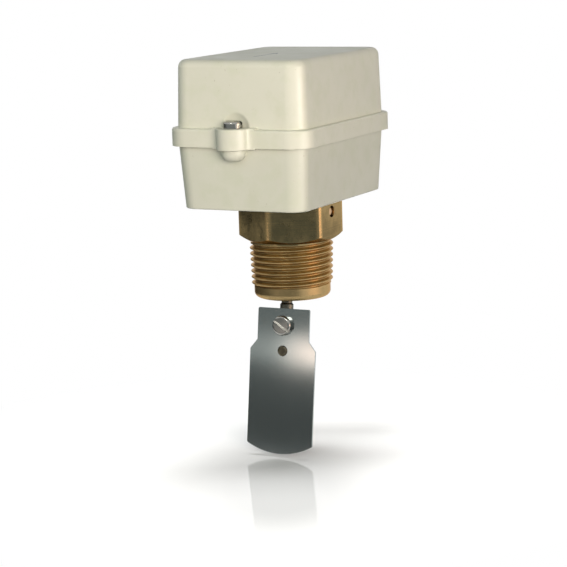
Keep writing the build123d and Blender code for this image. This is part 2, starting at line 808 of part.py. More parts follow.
# Chassis bracket: one bent sheet with foot flange, switch wall and a shelf for the range screw
shelf_front = spring_y - bracket_shelf_width / 2
shelf_back = spring_y + bracket_shelf_width / 2
shelf_under = bracket_top_z - sheet
foot_front = post_y_front - bracket_foot_margin
foot_back = post_y_back + bracket_foot_margin
switch_center_y = switch_front_y + switch_length / 2
hole_low_z = switch_bottom_z + switch_hole_rise
hole_high_z = hole_low_z + switch_hole_skew
hole_low_y = switch_center_y - switch_hole_span / 2
hole_high_y = switch_center_y + switch_hole_span / 2
with BuildPart() as chassis_bracket:
    with BuildSketch(Plane.YZ.offset(bracket_face_x - sheet)) as wall_outline:
        with BuildLine():
            Polyline(
                (foot_front, bracket_foot_z),
                (foot_back, bracket_foot_z),
                (foot_back, bracket_foot_z + bracket_ramp_low),
                (shelf_back, bracket_foot_z + bracket_ramp_high),
                (shelf_back, bracket_top_z),
                (shelf_front, bracket_top_z),
                (shelf_front - bracket_step_run, bracket_step_z),
                (bracket_front_y, bracket_step_z),
                (bracket_front_y, bracket_low_z + bracket_front_rise),
                (foot_front, bracket_low_z),
                close=True,
            )
        make_face()
        rounded = wall_outline.vertices().filter_by(
            lambda corner: corner.Z > bracket_foot_z + 1 and corner.Z < bracket_top_z - 0.01
        )
        fillet(rounded, bracket_corner)
        with Locations((hole_low_y, hole_low_z), (hole_high_y, hole_high_z)):
            Circle(switch_hole_radius, mode=Mode.SUBTRACT)
    extrude(amount=sheet)
    with BuildSketch(Plane.XY.offset(bracket_foot_z)):
        with Locations((bracket_face_x - sheet - bracket_foot_reach / 2 + 0.1, (foot_front + foot_back) / 2)):
            Rectangle(bracket_foot_reach + 0.2, foot_back - foot_front)
    extrude(amount=sheet)
    with BuildSketch(Plane.XY.offset(shelf_under)):
        with Locations((bracket_face_x + bracket_shelf_reach / 2 - 0.1, spring_y)):
            Rectangle(bracket_shelf_reach + 0.2, bracket_shelf_width)
    extrude(amount=sheet)
    bends = chassis_bracket.edges().filter_by(Axis.Y).filter_by(
        lambda edge: abs(edge.center().X - bracket_face_x) < 0.01 and abs(edge.center().Z - bracket_foot_z) < 0.01
    )
    fillet(bends, sheet * 0.9)
    with BuildSketch(Plane.XY.offset(bracket_foot_z)):
        with Locations((post_x, post_y_front), (post_x, post_y_back)):
            Circle(chassis_screw_radius + hole_gap)
        with Locations((post_x, earth_screw_y)):
            Circle(earth_screw_radius + pin_fit)
    extrude(amount=sheet, mode=Mode.SUBTRACT)
    with BuildSketch(Plane.XY.offset(shelf_under)):
        with Locations((0, spring_y)):
            Circle(range_screw_radius + running_fit)
    extrude(amount=sheet, mode=Mode.SUBTRACT)
chassis_bracket.part.label = "chassis_bracket"
export_step(chassis_bracket.part, "parts/chassis_bracket.step")

# Two screws that hold the bracket on its posts
foot_top = bracket_foot_z + sheet
with BuildPart() as chassis_screws:
    with BuildSketch(Plane.XY.offset(foot_top)):
        with Locations((post_x, post_y_front), (post_x, post_y_back)):
            Circle(chassis_head_radius)
    extrude(amount=chassis_head_height)
    fillet(chassis_screws.edges().filter_by(GeomType.CIRCLE).group_by(Axis.Z)[-1], 0.7)
    with BuildSketch(Plane.XY.offset(foot_top)):
        with Locations((post_x, post_y_front), (post_x, post_y_back)):
            Circle(chassis_screw_radius)
    extrude(amount=-(sheet + chassis_screw_length - 0.5))
chassis_screws.part.label = "chassis_screws"
export_step(chassis_screws.part, "parts/chassis_screws.step")

# Earth terminal: a clamp plate under a screw in the bracket's foot
with BuildPart() as earth_clamp:
    with BuildSketch(Plane.XY.offset(foot_top)):
        with Locations((post_x, earth_screw_y)):
            Rectangle(earth_clamp_size, earth_clamp_size)
            Circle(earth_screw_radius + hole_gap, mode=Mode.SUBTRACT)
    extrude(amount=earth_clamp_thickness)
earth_clamp.part.label = "earth_clamp"
export_step(earth_clamp.part, "parts/earth_clamp.step")

earth_seat = foot_top + earth_clamp_thickness
with BuildPart() as earth_screw:
    with BuildSketch(Plane.XY.offset(earth_seat)):
        with Locations((post_x, earth_screw_y)):
            Circle(earth_head_radius)
    extrude(amount=earth_head_height)
    fillet(earth_screw.edges().filter_by(GeomType.CIRCLE).group_by(Axis.Z)[-1], 0.9)
    with BuildSketch(Plane.XY.offset(earth_seat)):
        with Locations((post_x, earth_screw_y)):
            Circle(earth_screw_radius)
    extrude(amount=-(earth_clamp_thickness + sheet))
    with BuildSketch(Plane.XY.offset(earth_seat + earth_head_height)):
        with Locations((post_x, earth_screw_y)):
            Rectangle(4 * earth_head_radius, slot_width)
    extrude(amount=-slot_depth, mode=Mode.SUBTRACT)
earth_screw.part.label = "earth_screw"
export_step(earth_screw.part, "parts/earth_screw.step")

# Microswitch case with its plunger guide, mounting holes and leaf ears
leaf_pivot_y = switch_front_y + leaf_pivot_in
leaf_pivot_z = switch_bottom_z - leaf_pivot_drop
plunger_y = switch_front_y + plunger_in
switch_half = switch_thickness / 2
switch_top = switch_bottom_z + switch_height
with BuildPart() as microswitch_case:
    with BuildSketch(Plane.YZ.offset(-switch_half)) as case_outline:
        with Locations((switch_center_y, switch_bottom_z + switch_height / 2)):
            RectangleRounded(switch_length, switch_height, switch_edge)
    extrude(amount=switch_thickness)
    for ear_x in (-switch_half + 0.3, switch_half - 1.3):
        with BuildSketch(Plane.YZ.offset(ear_x)):
            with Locations((leaf_pivot_y, leaf_pivot_z)):
                Circle(leaf_knuckle + 0.2)
            with Locations((leaf_pivot_y, leaf_pivot_z + 0.8)):
                Rectangle(2 * leaf_knuckle + 0.4, 1.6)
        extrude(amount=1.0)
    with BuildSketch(Plane.YZ.offset(-switch_half)):
        with Locations((hole_low_y, hole_low_z), (hole_high_y, hole_high_z)):
            Circle(switch_hole_radius)
    extrude(amount=switch_thickness, mode=Mode.SUBTRACT)
    with BuildSketch(Plane.XY.offset(switch_bottom_z)):
        with Locations((0, plunger_y)):
            Circle(plunger_radius + running_fit)
    extrude(amount=plunger_depth + 1.0, mode=Mode.SUBTRACT)
    with BuildSketch(Plane.YZ.offset(-switch_half)):
        with Locations((leaf_pivot_y, leaf_pivot_z)):
            Circle(leaf_pin_radius + running_fit)
    extrude(amount=switch_thickness, mode=Mode.SUBTRACT)
microswitch_case.part.label = "microswitch_case"
export_step(microswitch_case.part, "parts/microswitch_case.step")

# Plunger that the leaf presses into the case
with BuildPart() as microswitch_plunger:
    with BuildSketch(Plane.XY.offset(switch_bottom_z - plunger_drop)):
        with Locations((0, plunger_y)):
            Circle(plunger_radius)
    extrude(amount=plunger_drop + plunger_depth)
    fillet(microswitch_plunger.edges().filter_by(GeomType.CIRCLE).group_by(Axis.Z)[0], 0.35)
microswitch_plunger.part.label = "microswitch_plunger"
export_step(microswitch_plunger.part, "parts/microswitch_plunger.step")

# Leaf lever hinged on the case, between the trip lever's nose and the plunger
leaf_top = switch_bottom_z - leaf_drop
leaf_half = switch_half - 1.3 - 0.3
with BuildPart() as microswitch_leaf:
    with BuildSketch(Plane.YZ.offset(-leaf_half)):
        with Locations((leaf_pivot_y, leaf_pivot_z)):
            Circle(leaf_knuckle - 0.5)
    extrude(amount=2 * leaf_half)
    with BuildSketch(Plane.XY.offset(leaf_top - leaf_thickness)):
        with Locations((0, leaf_pivot_y + leaf_length / 2)):
            RectangleRounded(leaf_width, leaf_length, 0.6)
    extrude(amount=leaf_thickness)
    with BuildSketch(Plane.YZ.offset(-switch_half + 0.3)):
        with Locations((leaf_pivot_y, leaf_pivot_z)):
            Circle(leaf_pin_radius)
    extrude(amount=switch_thickness - 0.6)
microswitch_leaf.part.label = "microswitch_leaf"
export_step(microswitch_leaf.part, "parts/microswitch_leaf.step")

# Two screws that hold the microswitch on the bracket, with nuts behind
with BuildPart() as microswitch_screws:
    with BuildSketch(Plane.YZ.offset(switch_half)):
        with Locations((hole_low_y, hole_low_z), (hole_high_y, hole_high_z)):
            Circle(switch_hole_radius + switch_head_overhang)
    extrude(amount=switch_head_height)
    with BuildSketch(Plane.YZ.offset(switch_half)):
        with Locations((hole_low_y, hole_low_z), (hole_high_y, hole_high_z)):
            Circle(switch_hole_radius - hole_gap)
    extrude(amount=-(switch_half - bracket_face_x + sheet + switch_nut_height + switch_screw_overrun))
microswitch_screws.part.label = "microswitch_screws"
export_step(microswitch_screws.part, "parts/microswitch_screws.step")

with BuildPart() as microswitch_nuts:
    with BuildSketch(Plane.YZ.offset(bracket_face_x - sheet)):
        with Locations((hole_low_y, hole_low_z), (hole_high_y, hole_high_z)):
            RegularPolygon(hexagon_radius(switch_nut_across_flats), 6)
            Circle(switch_hole_radius - hole_gap + pin_fit, mode=Mode.SUBTRACT)
    extrude(amount=-switch_nut_height)
microswitch_nuts.part.label = "microswitch_nuts"
export_step(microswitch_nuts.part, "parts/microswitch_nuts.step")

# Three terminal plates on the microswitch, each with a clamp screw
terminal_ys = [switch_center_y + step * terminal_pitch for step in (-1, 0, 1)]
with BuildPart() as terminal_plates:
    with BuildSketch(Plane.XY.offset(switch_top)):
        for terminal_y in terminal_ys:
            with Locations((0, terminal_y)):
                RectangleRounded(terminal_reach, terminal_width, 0.8)
                Circle(terminal_screw_radius + pin_fit, mode=Mode.SUBTRACT)
    extrude(amount=terminal_rise)
terminal_plates.part.label = "terminal_plates"
export_step(terminal_plates.part, "parts/terminal_plates.step")

terminal_seat = switch_top + terminal_rise
with BuildPart() as terminal_screws:
    with BuildSketch(Plane.XY.offset(terminal_seat)):
        for terminal_y in terminal_ys:
            with Locations((0, terminal_y)):
                Circle(terminal_head_radius)
    extrude(amount=terminal_head_height)
    fillet(terminal_screws.edges().filter_by(GeomType.CIRCLE).group_by(Axis.Z)[-1], 0.6)
    with BuildSketch(Plane.XY.offset(terminal_seat)):
        for terminal_y in terminal_ys:
            with Locations((0, terminal_y)):
                Circle(terminal_screw_radius)
    extrude(amount=-terminal_rise)
    with BuildSketch(Plane.XY.offset(terminal_seat + terminal_head_height)):
        for terminal_y in terminal_ys:
            with Locations((0, terminal_y)):
                Rectangle(4 * terminal_head_radius, slot_width * 0.8)
    extrude(amount=-0.9, mode=Mode.SUBTRACT)
terminal_screws.part.label = "terminal_screws"
export_step(terminal_screws.part, "parts/terminal_screws.step")

# Range screw in the shelf, its retaining clip, and the nut that loads the spring
with BuildPart() as range_screw:
    with BuildSketch(Plane.XY.offset(bracket_top_z)):
        with Locations((0, spring_y)):
            Circle(range_head_radius)
    extrude(amount=range_head_height)
    chamfer(range_screw.edges().filter_by(GeomType.CIRCLE).group_by(Axis.Z)[-1], 0.5)
    with BuildSketch(Plane.XY.offset(bracket_top_z)):
        with Locations((0, spring_y)):
            Circle(range_screw_radius)
    extrude(amount=range_screw_end_z - bracket_top_z)
    with BuildSketch(Plane.XY.offset(bracket_top_z + range_head_height)):
        with Locations((0, spring_y)):
            Rectangle(4 * range_head_radius, slot_width)
    extrude(amount=-slot_depth, mode=Mode.SUBTRACT)
range_screw.part.label = "range_screw"
export_step(range_screw.part, "parts/range_screw.step")

with BuildPart() as range_clip:
    with BuildSketch(Plane.XY.offset(shelf_under - washer_gap)):
        with Locations((0, spring_y)):
            Circle(range_clip_radius)
            Circle(range_screw_radius + pin_fit, mode=Mode.SUBTRACT)
        with Locations((0, spring_y + range_clip_radius)):
            Rectangle(range_screw_radius, 2 * range_clip_radius - 2, mode=Mode.SUBTRACT)
    extrude(amount=-range_clip_height)
range_clip.part.label = "range_clip"
export_step(range_clip.part, "parts/range_clip.step")

nut_low_x = bracket_face_x + range_nut_gap
with BuildPart() as range_nut:
    with BuildSketch(Plane.XY.offset(range_nut_z)):
        with Locations((nut_low_x + range_nut_size / 2, spring_y)):
            RectangleRounded(range_nut_size, range_nut_size, 0.8)
        with Locations((0, spring_y)):
            Circle(range_screw_radius + running_fit, mode=Mode.SUBTRACT)
    extrude(amount=range_nut_height)
range_nut.part.label = "range_nut"
export_step(range_nut.part, "parts/range_nut.step")

# Range spring between the nut and the trip lever
lever_top = lever_rise + lever_thickness
spring_edge_y = spring_y - spring_radius - spring_wire
spring_low_z = pivot_z + (lever_top - spring_edge_y * sin(tilt)) / cos(tilt) + spring_clear
spring_height = range_nut_z - spring_low_z - 2 * spring_wire - joint_gap
spring_start = spring_low_z + spring_wire
with BuildPart() as range_spring:
    with BuildLine():
        Helix(
            pitch=spring_height / spring_turns,
            height=spring_height,
            radius=spring_radius,
            center=(0, spring_y, spring_start),
        )
    with BuildSketch(Plane(origin=(spring_radius, spring_y, spring_start), x_dir=(1, 0, 0), z_dir=(0, 1, 0))):
        Circle(spring_wire)
    sweep(is_frenet=True)
range_spring.part.label = "range_spring"
export_step(range_spring.part, "parts/range_spring.step")

# Cable gland through the back wall: body, lock nut inside, seal and dome nut outside
with BuildPart() as gland_body:
    with BuildSketch(gland_axis_plane):
        RegularPolygon(hexagon_radius(gland_across_flats), 6, rotation=30)
    extrude(amount=gland_flange)
    with BuildSketch(gland_axis_plane.offset(gland_flange)):
        Circle(gland_thread_radius)
    extrude(amount=gland_thread_out)
    with BuildSketch(gland_axis_plane):
        Circle(gland_thread_radius)
    extrude(amount=-(gland_wall_depth + gland_locknut_height + gland_thread_inside))
    with BuildSketch(gland_axis_plane.offset(gland_flange + gland_thread_out)):
        Circle(gland_seal_radius + joint_gap)
    extrude(amount=-gland_seal_length + 1.0, mode=Mode.SUBTRACT)
    with BuildSketch(gland_axis_plane.offset(gland_flange + gland_thread_out)):
        Circle(gland_bore_radius)
    extrude(amount=-60, mode=Mode.SUBTRACT)
gland_body.part.label = "gland_body"
export_step(gland_body.part, "parts/gland_body.step")

with BuildPart() as gland_locknut:
    with BuildSketch(gland_axis_plane.offset(-gland_wall_depth)):
        RegularPolygon(hexagon_radius(gland_locknut_across_flats), 6, rotation=30)
        Circle(gland_thread_radius + pin_fit, mode=Mode.SUBTRACT)
    extrude(amount=-gland_locknut_height)
gland_locknut.part.label = "gland_locknut"
export_step(gland_locknut.part, "parts/gland_locknut.step")

seal_start = gland_flange + gland_thread_out - gland_seal_length + 1.0
with BuildPart() as gland_seal:
    with BuildSketch(gland_axis_plane.offset(seal_start)):
        Circle(gland_seal_radius)
        Circle(gland_seal_bore, mode=Mode.SUBTRACT)
    extrude(amount=gland_seal_length)
gland_seal.part.label = "gland_seal"
export_step(gland_seal.part, "parts/gland_seal.step")

nut_start = gland_flange + 0.8
with BuildPart() as gland_nut:
    with BuildSketch(gland_axis_plane.offset(nut_start)):
        RegularPolygon(hexagon_radius(gland_nut_across_flats), 6, rotation=30)
    extrude(amount=gland_nut_length - gland_dome)
    with BuildSketch(gland_axis_plane.offset(nut_start + gland_nut_length - gland_dome)):
        Circle(gland_nut_across_flats / 2)
    extrude(amount=gland_dome)
    fillet(gland_nut.edges().filter_by(GeomType.CIRCLE).sort_by(Axis.Y)[-1], gland_dome * 0.9)
    with BuildSketch(gland_axis_plane.offset(nut_start)):
        Circle(gland_thread_radius + pin_fit)
    extrude(amount=seal_start + gland_seal_length - nut_start, mode=Mode.SUBTRACT)
    with BuildSketch(gland_axis_plane.offset(nut_start)):
        Circle(gland_nut_bore)
    extrude(amount=2 * gland_nut_length, mode=Mode.SUBTRACT)
gland_nut.part.label = "gland_nut"
export_step(gland_nut.part, "parts/gland_nut.step")
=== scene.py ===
import json
from math import atan2, cos, floor, radians, sin, tau

import bmesh
import bpy
from bpy.props import FloatProperty, FloatVectorProperty, IntProperty, PointerProperty
from mathutils import Euler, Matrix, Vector


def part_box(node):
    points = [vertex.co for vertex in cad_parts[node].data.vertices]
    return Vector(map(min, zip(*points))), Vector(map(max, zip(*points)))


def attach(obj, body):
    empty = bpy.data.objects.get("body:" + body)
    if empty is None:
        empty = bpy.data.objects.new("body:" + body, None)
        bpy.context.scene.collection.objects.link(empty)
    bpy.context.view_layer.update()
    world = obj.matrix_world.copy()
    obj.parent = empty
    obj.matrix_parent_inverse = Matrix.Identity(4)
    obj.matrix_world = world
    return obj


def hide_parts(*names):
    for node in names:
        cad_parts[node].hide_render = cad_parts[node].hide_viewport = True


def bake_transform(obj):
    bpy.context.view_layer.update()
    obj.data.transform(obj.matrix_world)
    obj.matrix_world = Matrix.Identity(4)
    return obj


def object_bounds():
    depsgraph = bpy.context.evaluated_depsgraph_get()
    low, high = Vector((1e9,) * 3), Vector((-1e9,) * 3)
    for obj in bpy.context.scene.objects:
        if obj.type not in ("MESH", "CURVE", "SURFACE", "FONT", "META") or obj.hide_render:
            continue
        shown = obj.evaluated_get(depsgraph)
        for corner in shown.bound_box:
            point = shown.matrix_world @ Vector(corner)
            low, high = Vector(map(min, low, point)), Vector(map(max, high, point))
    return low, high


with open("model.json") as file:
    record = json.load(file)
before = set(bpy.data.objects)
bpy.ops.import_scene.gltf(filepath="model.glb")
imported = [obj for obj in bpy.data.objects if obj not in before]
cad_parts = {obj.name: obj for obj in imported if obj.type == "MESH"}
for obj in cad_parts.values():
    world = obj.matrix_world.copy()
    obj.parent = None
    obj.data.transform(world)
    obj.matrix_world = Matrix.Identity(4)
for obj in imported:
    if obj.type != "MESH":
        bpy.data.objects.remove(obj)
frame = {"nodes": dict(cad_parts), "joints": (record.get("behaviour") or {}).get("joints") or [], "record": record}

bl_info = {
    "name": "Pipe flow switch",
    "version": (1, 0, 0),
    "blender": (4, 5, 0),
    "location": "3D View > Sidebar > Flow switch",
    "description": "Dresses the pipe flow switch: thread, bellows, spring, finishes and studio",
    "category": "Add Mesh",
}

MM = 0.001
WHITE = (1.0, 1.0, 1.0)
cad_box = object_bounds()
mounts = {mount["name"]: mount for mount in frame["record"]["mounts"]}
joints = {joint["name"]: joint for joint in frame["joints"]}
pipe = mounts["pipe_thread"]["dims"]
pivot = Vector(joints["paddle_swing"]["pos_m"])


# Sizes and colours that a user would change


def length(name, description, millimetres):
    """A length setting, shown in the scene's own unit."""
    return FloatProperty(
        name=name, description=description, default=millimetres * MM, unit="LENGTH", precision=5
    )


def share(name, description, default):
    """A setting between none and all."""
    return FloatProperty(
        name=name, description=description, default=default, min=0.0, max=1.0, subtype="FACTOR"
    )


def setting(name, description, default):
    """A lamp's watts, a glow or a level, which can't be below nothing."""
    return FloatProperty(name=name, description=description, default=default, min=0.0)


def tint(name, description, default):
    """A colour setting."""
    return FloatVectorProperty(
        name=name, description=description, default=default, size=3, min=0.0, max=1.0, subtype="COLOR"
    )


class FlowSwitchSizes(bpy.types.PropertyGroup):
    """Sizes of the pieces that are modelled here."""

    pipe_pitch: length("Pipe thread pitch", "Distance from crest to crest, 11 turns to the inch", 25.4 / 11)
    pipe_depth: length("Pipe thread depth", "From crest to root", 1.479)
    pipe_start: FloatProperty(
        name="Pipe thread start",
        description="Where round the body the thread begins",
        default=radians(3.6),
        unit="ROTATION",
    )
    pipe_neck: length("Neck depth", "How far the run-out under the hexagon lies below the crests", 0.75)
    pipe_relief: length("Neck height", "Height of the run-out under the hexagon", 1.3)
    pipe_lead: length("Lead radius", "Radius of the plain lead below the thread", 15.1)
    bellows_outer: length("Bellows radius", "Over the crests of the folds", 6.95)
    bellows_inner: length("Bellows root", "Radius in the valleys between the folds", 5.75)
    bellows_wall: length("Bellows wall", "Thickness of the formed bronze", 0.3)
    bellows_cuff: length("Bellows cuff", "Plain length at each end of the bellows", 0.9)
    bellows_folds: IntProperty(name="Bellows folds", description="Number of folds", default=7, min=2)
    bellows_reach: length("Bellows reach", "From the pivot down the arm to the bellows' cap", 24.0)
    coil_turns: FloatProperty(
        name="Spring turns", description="Turns of the range spring", default=5.5, min=2.0
    )
    coil_wire: length("Spring wire", "Radius of the range spring's wire", 0.45)
    screw_pitch: length("Range screw pitch", "Distance from crest to crest", 0.7)
    screw_depth: length("Range screw depth", "From crest to root", 0.42)


class FlowSwitchColours(bpy.types.PropertyGroup):
    """Base colours of the finishes, and how worn they are."""

    ivory: tint("Ivory of the cover", "Moulded cover", (0.684, 0.684, 0.585))
    # The base's ivory is a little greener, and darker than the cover's as painted shade under the band.
    base_ivory_with_painted_shade: tint("Ivory of the base", "Moulded base, a little greener", (0.628, 0.636, 0.545))
    arrow: tint("Flow arrow", "Print on the cover", (0.25, 0.26, 0.24))
    brass: tint("Brass", "Turned body", (0.29, 0.222, 0.108))
    patina: tint("Brass patina", "Where the brass has dulled", (0.090, 0.076, 0.040))
    # Lighter warm brass for the edges, the turning rings and the bare thread, and for the painted light that makes
    # the thread lighter than the shaded hexagon.
    rubbed_and_painted_light: tint("Rubbed brass", "Warm bare metal on the brass body's edges", (0.58, 0.40, 0.18))
    bronze: tint("Bronze", "Bellows", (0.56, 0.36, 0.20))
    paddle: tint("Paddle sheet", "Rolled stainless sheet", (0.36, 0.395, 0.385))
    # The arm's steel is darkened as painted shade, since its neck lies under the brass body.
    steel: tint("Stainless steel", "Paddle arm", (0.13, 0.125, 0.10))
    pin: tint("Pivot pin", "Bronze pin with domed ends", (0.62, 0.40, 0.22))
    zinc: tint("Bright zinc", "Nuts, clip and spring", (0.60, 0.59, 0.55))
    screws: tint("Dull zinc", "Cover, paddle and bracket screws", (0.34, 0.335, 0.31))
    sheet_zinc: tint("Zinc sheet", "Bracket and levers", (0.60, 0.61, 0.58))
    copper: tint("Copper pin", "Domed locating pin", (0.10, 0.088, 0.062))
    terminal: tint("Terminal brass", "Terminals and earth clamp", (0.66, 0.50, 0.24))
    phenolic: tint("Switch case", "Black moulding", (0.022, 0.022, 0.025))
    button: tint("Switch button", "Red moulding", (0.42, 0.03, 0.025))
    rubber: tint("Rubber", "Gaskets and cable seal", (0.03, 0.03, 0.031))
    washer: tint("White washer", "Low-friction washers", (0.78, 0.78, 0.74))
    gland: tint("Gland grey", "Cable gland", (0.17, 0.18, 0.18))
    wear: share("Wear", "Strength of stains, smears and dull spots", 0.6)


class FlowSwitchStage(bpy.types.PropertyGroup):
    """Camera, lamps, floor and drape."""

    camera_place: FloatVectorProperty(
        name="Camera place",
        description="Where the camera stands",
        default=(0.36495, -0.73529, 0.12552),
        subtype="XYZ",
        unit="LENGTH",
    )
    camera_turn: FloatVectorProperty(
        name="Camera turn",
        description="How the camera is turned",
        default=(radians(80.07), radians(1.693), radians(26.35)),
        subtype="EULER",
    )
    camera_lens: FloatProperty(
        name="Lens", description="Focal length in millimetres", default=133.33, min=10.0
    )
    floor_gap: length("Floor gap", "From the lowest point of the paddle at rest down to the floor", 1.15)
    floor_radius: length("Floor radius", "Half the floor's width", 1600)
    key: setting("Key lamp", "Watts of the warm lamp at the right", 10.4)
    fill: setting("Fill lamp", "Watts of the cool lamp in front", 1.9)
    side: setting("Side lamp", "Watts of the warm lamp that metal shows at its right", 2.6)
    sheen: setting("Sheen lamp", "Watts of the lamp that the mouldings' corners show", 10.0)
    rear: setting("Rear lamps", "Watts of each of the two lamps behind the object", 5.0)
    cool: setting("Cool lamp", "Watts of the cool lamp at the left", 1.1)
    gleam: setting("Gleam lamp", "Watts of the lamp that only gloss and metal show", 1.5)
    shade: setting("Shade lamp", "Watts of the overhead lamp on the floor alone", 12.0)
    surround: setting("Surround", "Level of the white room on matt surfaces", 0.04)
    floor_tone: share("Floor tone", "Grey level of the floor near the object", 0.745)
    floor_fade: length("Floor fade", "From the paddle's foot to where the floor turns plain white", 88)
    drape_radius: length("Drape radius", "From the object to the dark drape that its metal reflects", 200)
    drape_top: length("Drape top", "Height of the drape's upper edge", 60)
    drape_glow: setting("Drape glow", "Strength of the pale patch on the drape", 3.5)


# Shader values as Python expressions


class Wire:
    """A shader value: Python's operators on it add the Math nodes that work it out."""

    def __init__(self, finish, socket):
        self.finish = finish
        self.socket = socket

    def maths(self, operation, *values):
        return self.finish.node("ShaderNodeMath", {"operation": operation}, dict(enumerate(values)))

    def __add__(self, other):
        return self.maths("ADD", self, other)

    def __radd__(self, other):
        return self.maths("ADD", other, self)

    def __sub__(self, other):
        return self.maths("SUBTRACT", self, other)

    def __rsub__(self, other):
        return self.maths("SUBTRACT", other, self)

    def __mul__(self, other):
        return self.maths("MULTIPLY", self, other)

    def __rmul__(self, other):
        return self.maths("MULTIPLY", other, self)

    def __truediv__(self, other):
        return self.maths("DIVIDE", self, other)

    def __pow__(self, other):
        return self.maths("POWER", self, other)

    def __abs__(self):
        return self.maths("ABSOLUTE", self)

    def __gt__(self, other):
        return self.maths("GREATER_THAN", self, other)

    def __lt__(self, other):
        return self.maths("LESS_THAN", self, other)

    def other(self, name):
        """Another output of the same node."""
        return Wire(self.finish, self.finish.pick(self.socket.node.outputs, name))


class Finish:
    """The nodes of one material or of the world."""

    def __init__(self, owner):
        self.owner = owner
        owner.use_nodes = True
        self.tree = owner.node_tree
        self.tree.nodes.clear()

    @staticmethod
    def pick(sockets, key):
        """A socket by its number, name or identifier."""
        if isinstance(key, int):
            return sockets[key]
        return next(socket for socket in sockets if key in (socket.identifier, socket.name))

    def node(self, kind, settings=None, inputs=None, output=0):
        """Add a node of a type, with its settings and its sockets' values or links, and use one output."""
        made = self.tree.nodes.new(kind)
        for name, value in (settings or {}).items():
            setattr(made, name, value)
        for key, value in (inputs or {}).items():
            socket = self.pick(made.inputs, key)
            if isinstance(value, Wire):
                self.tree.links.new(value.socket, socket)
            elif socket.type == "RGBA" and len(value) == 3:
                socket.default_value = (*value, 1.0)
            else:
                socket.default_value = value
        return Wire(self, self.pick(made.outputs, output))

    def place(self, stretch=(1.0, 1.0, 1.0)):
        """The point on the object, in metres, stretched along each axis."""
        point = self.node("ShaderNodeTexCoord", output="Object")
        return self.node("ShaderNodeVectorMath", {"operation": "MULTIPLY"}, {0: point, 1: stretch})

    def axes(self, vector):
        """The three numbers of a vector."""
        x = self.node("ShaderNodeSeparateXYZ", {}, {0: vector}, "X")
        return x, x.other("Y"), x.other("Z")

    def noise(self, size, detail=2.0, rough=0.5, stretch=(1.0, 1.0, 1.0)):
        """Soft noise from 0 to 1 whose lumps are about size millimetres across."""
        scale = 0.5 / (size * MM)
        return self.node(
            "ShaderNodeTexNoise",
            {"noise_dimensions": "3D"},
            {"Vector": self.place(stretch), "Scale": scale, "Detail": detail, "Roughness": rough},
        )

    def ease(self, value, low, high, bottom=0.0, top=1.0):
        """A value eased from bottom to top as it goes from low to high."""
        return self.node(
            "ShaderNodeMapRange",
            {"interpolation_type": "SMOOTHSTEP"},
            {"Value": value, "From Min": low, "From Max": high, "To Min": bottom, "To Max": top},
        )

    def blend(self, factor, first, second):
        """Two colours mixed by a factor."""
        return self.node(
            "ShaderNodeMix",
            {"data_type": "RGBA", "clamp_factor": True},
            {"Factor_Float": factor, "A_Color": first, "B_Color": second},
            "Result_Color",
        )

    def bump(self, height, millimetres, strength=1.0, over=None):
        """A normal from a height of at most so many millimetres, which may lie over another normal."""
        inputs = {"Strength": strength, "Distance": millimetres * MM, "Height": height}
        if over is not None:
            inputs["Normal"] = over
        return self.node("ShaderNodeBump", {}, inputs, "Normal")

    def surface(self, **inputs):
        """The shader, from its sockets' names with underscores for spaces."""
        named = {name.replace("_", " "): value for name, value in inputs.items()}
        return self.node("ShaderNodeBsdfPrincipled", {}, named)

    def glow(self, colour, strength):
        """A surface that only gives off light."""
        return self.node("ShaderNodeEmission", {}, {"Color": colour, "Strength": strength})

    def mix_shaders(self, factor, first, second):
        """Two shaders mixed by a factor."""
        return self.node("ShaderNodeMixShader", {}, {0: factor, 1: first, 2: second})

    def close(self, shader):
        """Send the shader to the output."""
        world = isinstance(self.owner, bpy.types.World)
        made = self.tree.nodes.new("ShaderNodeOutputWorld" if world else "ShaderNodeOutputMaterial")
        self.tree.links.new(shader.socket, made.inputs["Surface"])
        return self.owner


def new_finish(name):
    """An empty material of that name."""
    return Finish(bpy.data.materials.new(name))


def scaled(colour, amount):
    """A colour made darker or lighter."""
    return tuple(min(1.0, channel * amount) for channel in colour)


# Finishes


def flow_arrow(f):
    """Share of ink of the arrow printed on the cover's level top, worn in places."""
    middle = -1.0 * MM
    tail = -25.5 * MM
    tip = -4.5 * MM
    half_line = 0.42 * MM
    head_length = 4.8 * MM
    head_overlap = 0.8 * MM
    head_slope = 0.42
    near_level = 0.97
    x, y = f.axes(f.place())[:2]
    upward = f.axes(f.node("ShaderNodeNewGeometry", {}, {}, "Normal"))[2]
    across = abs(x - middle)
    line = (across < half_line) * (y > tail) * (y < tip - (head_length - head_overlap))
    head = (across < (tip - y) * head_slope) * (y > tip - head_length)
    worn = f.ease(f.noise(0.7, 2), 0.30, 0.48, 0.45, 1.0)
    return line.maths("MAXIMUM", line, head) * worn * (upward > near_level)


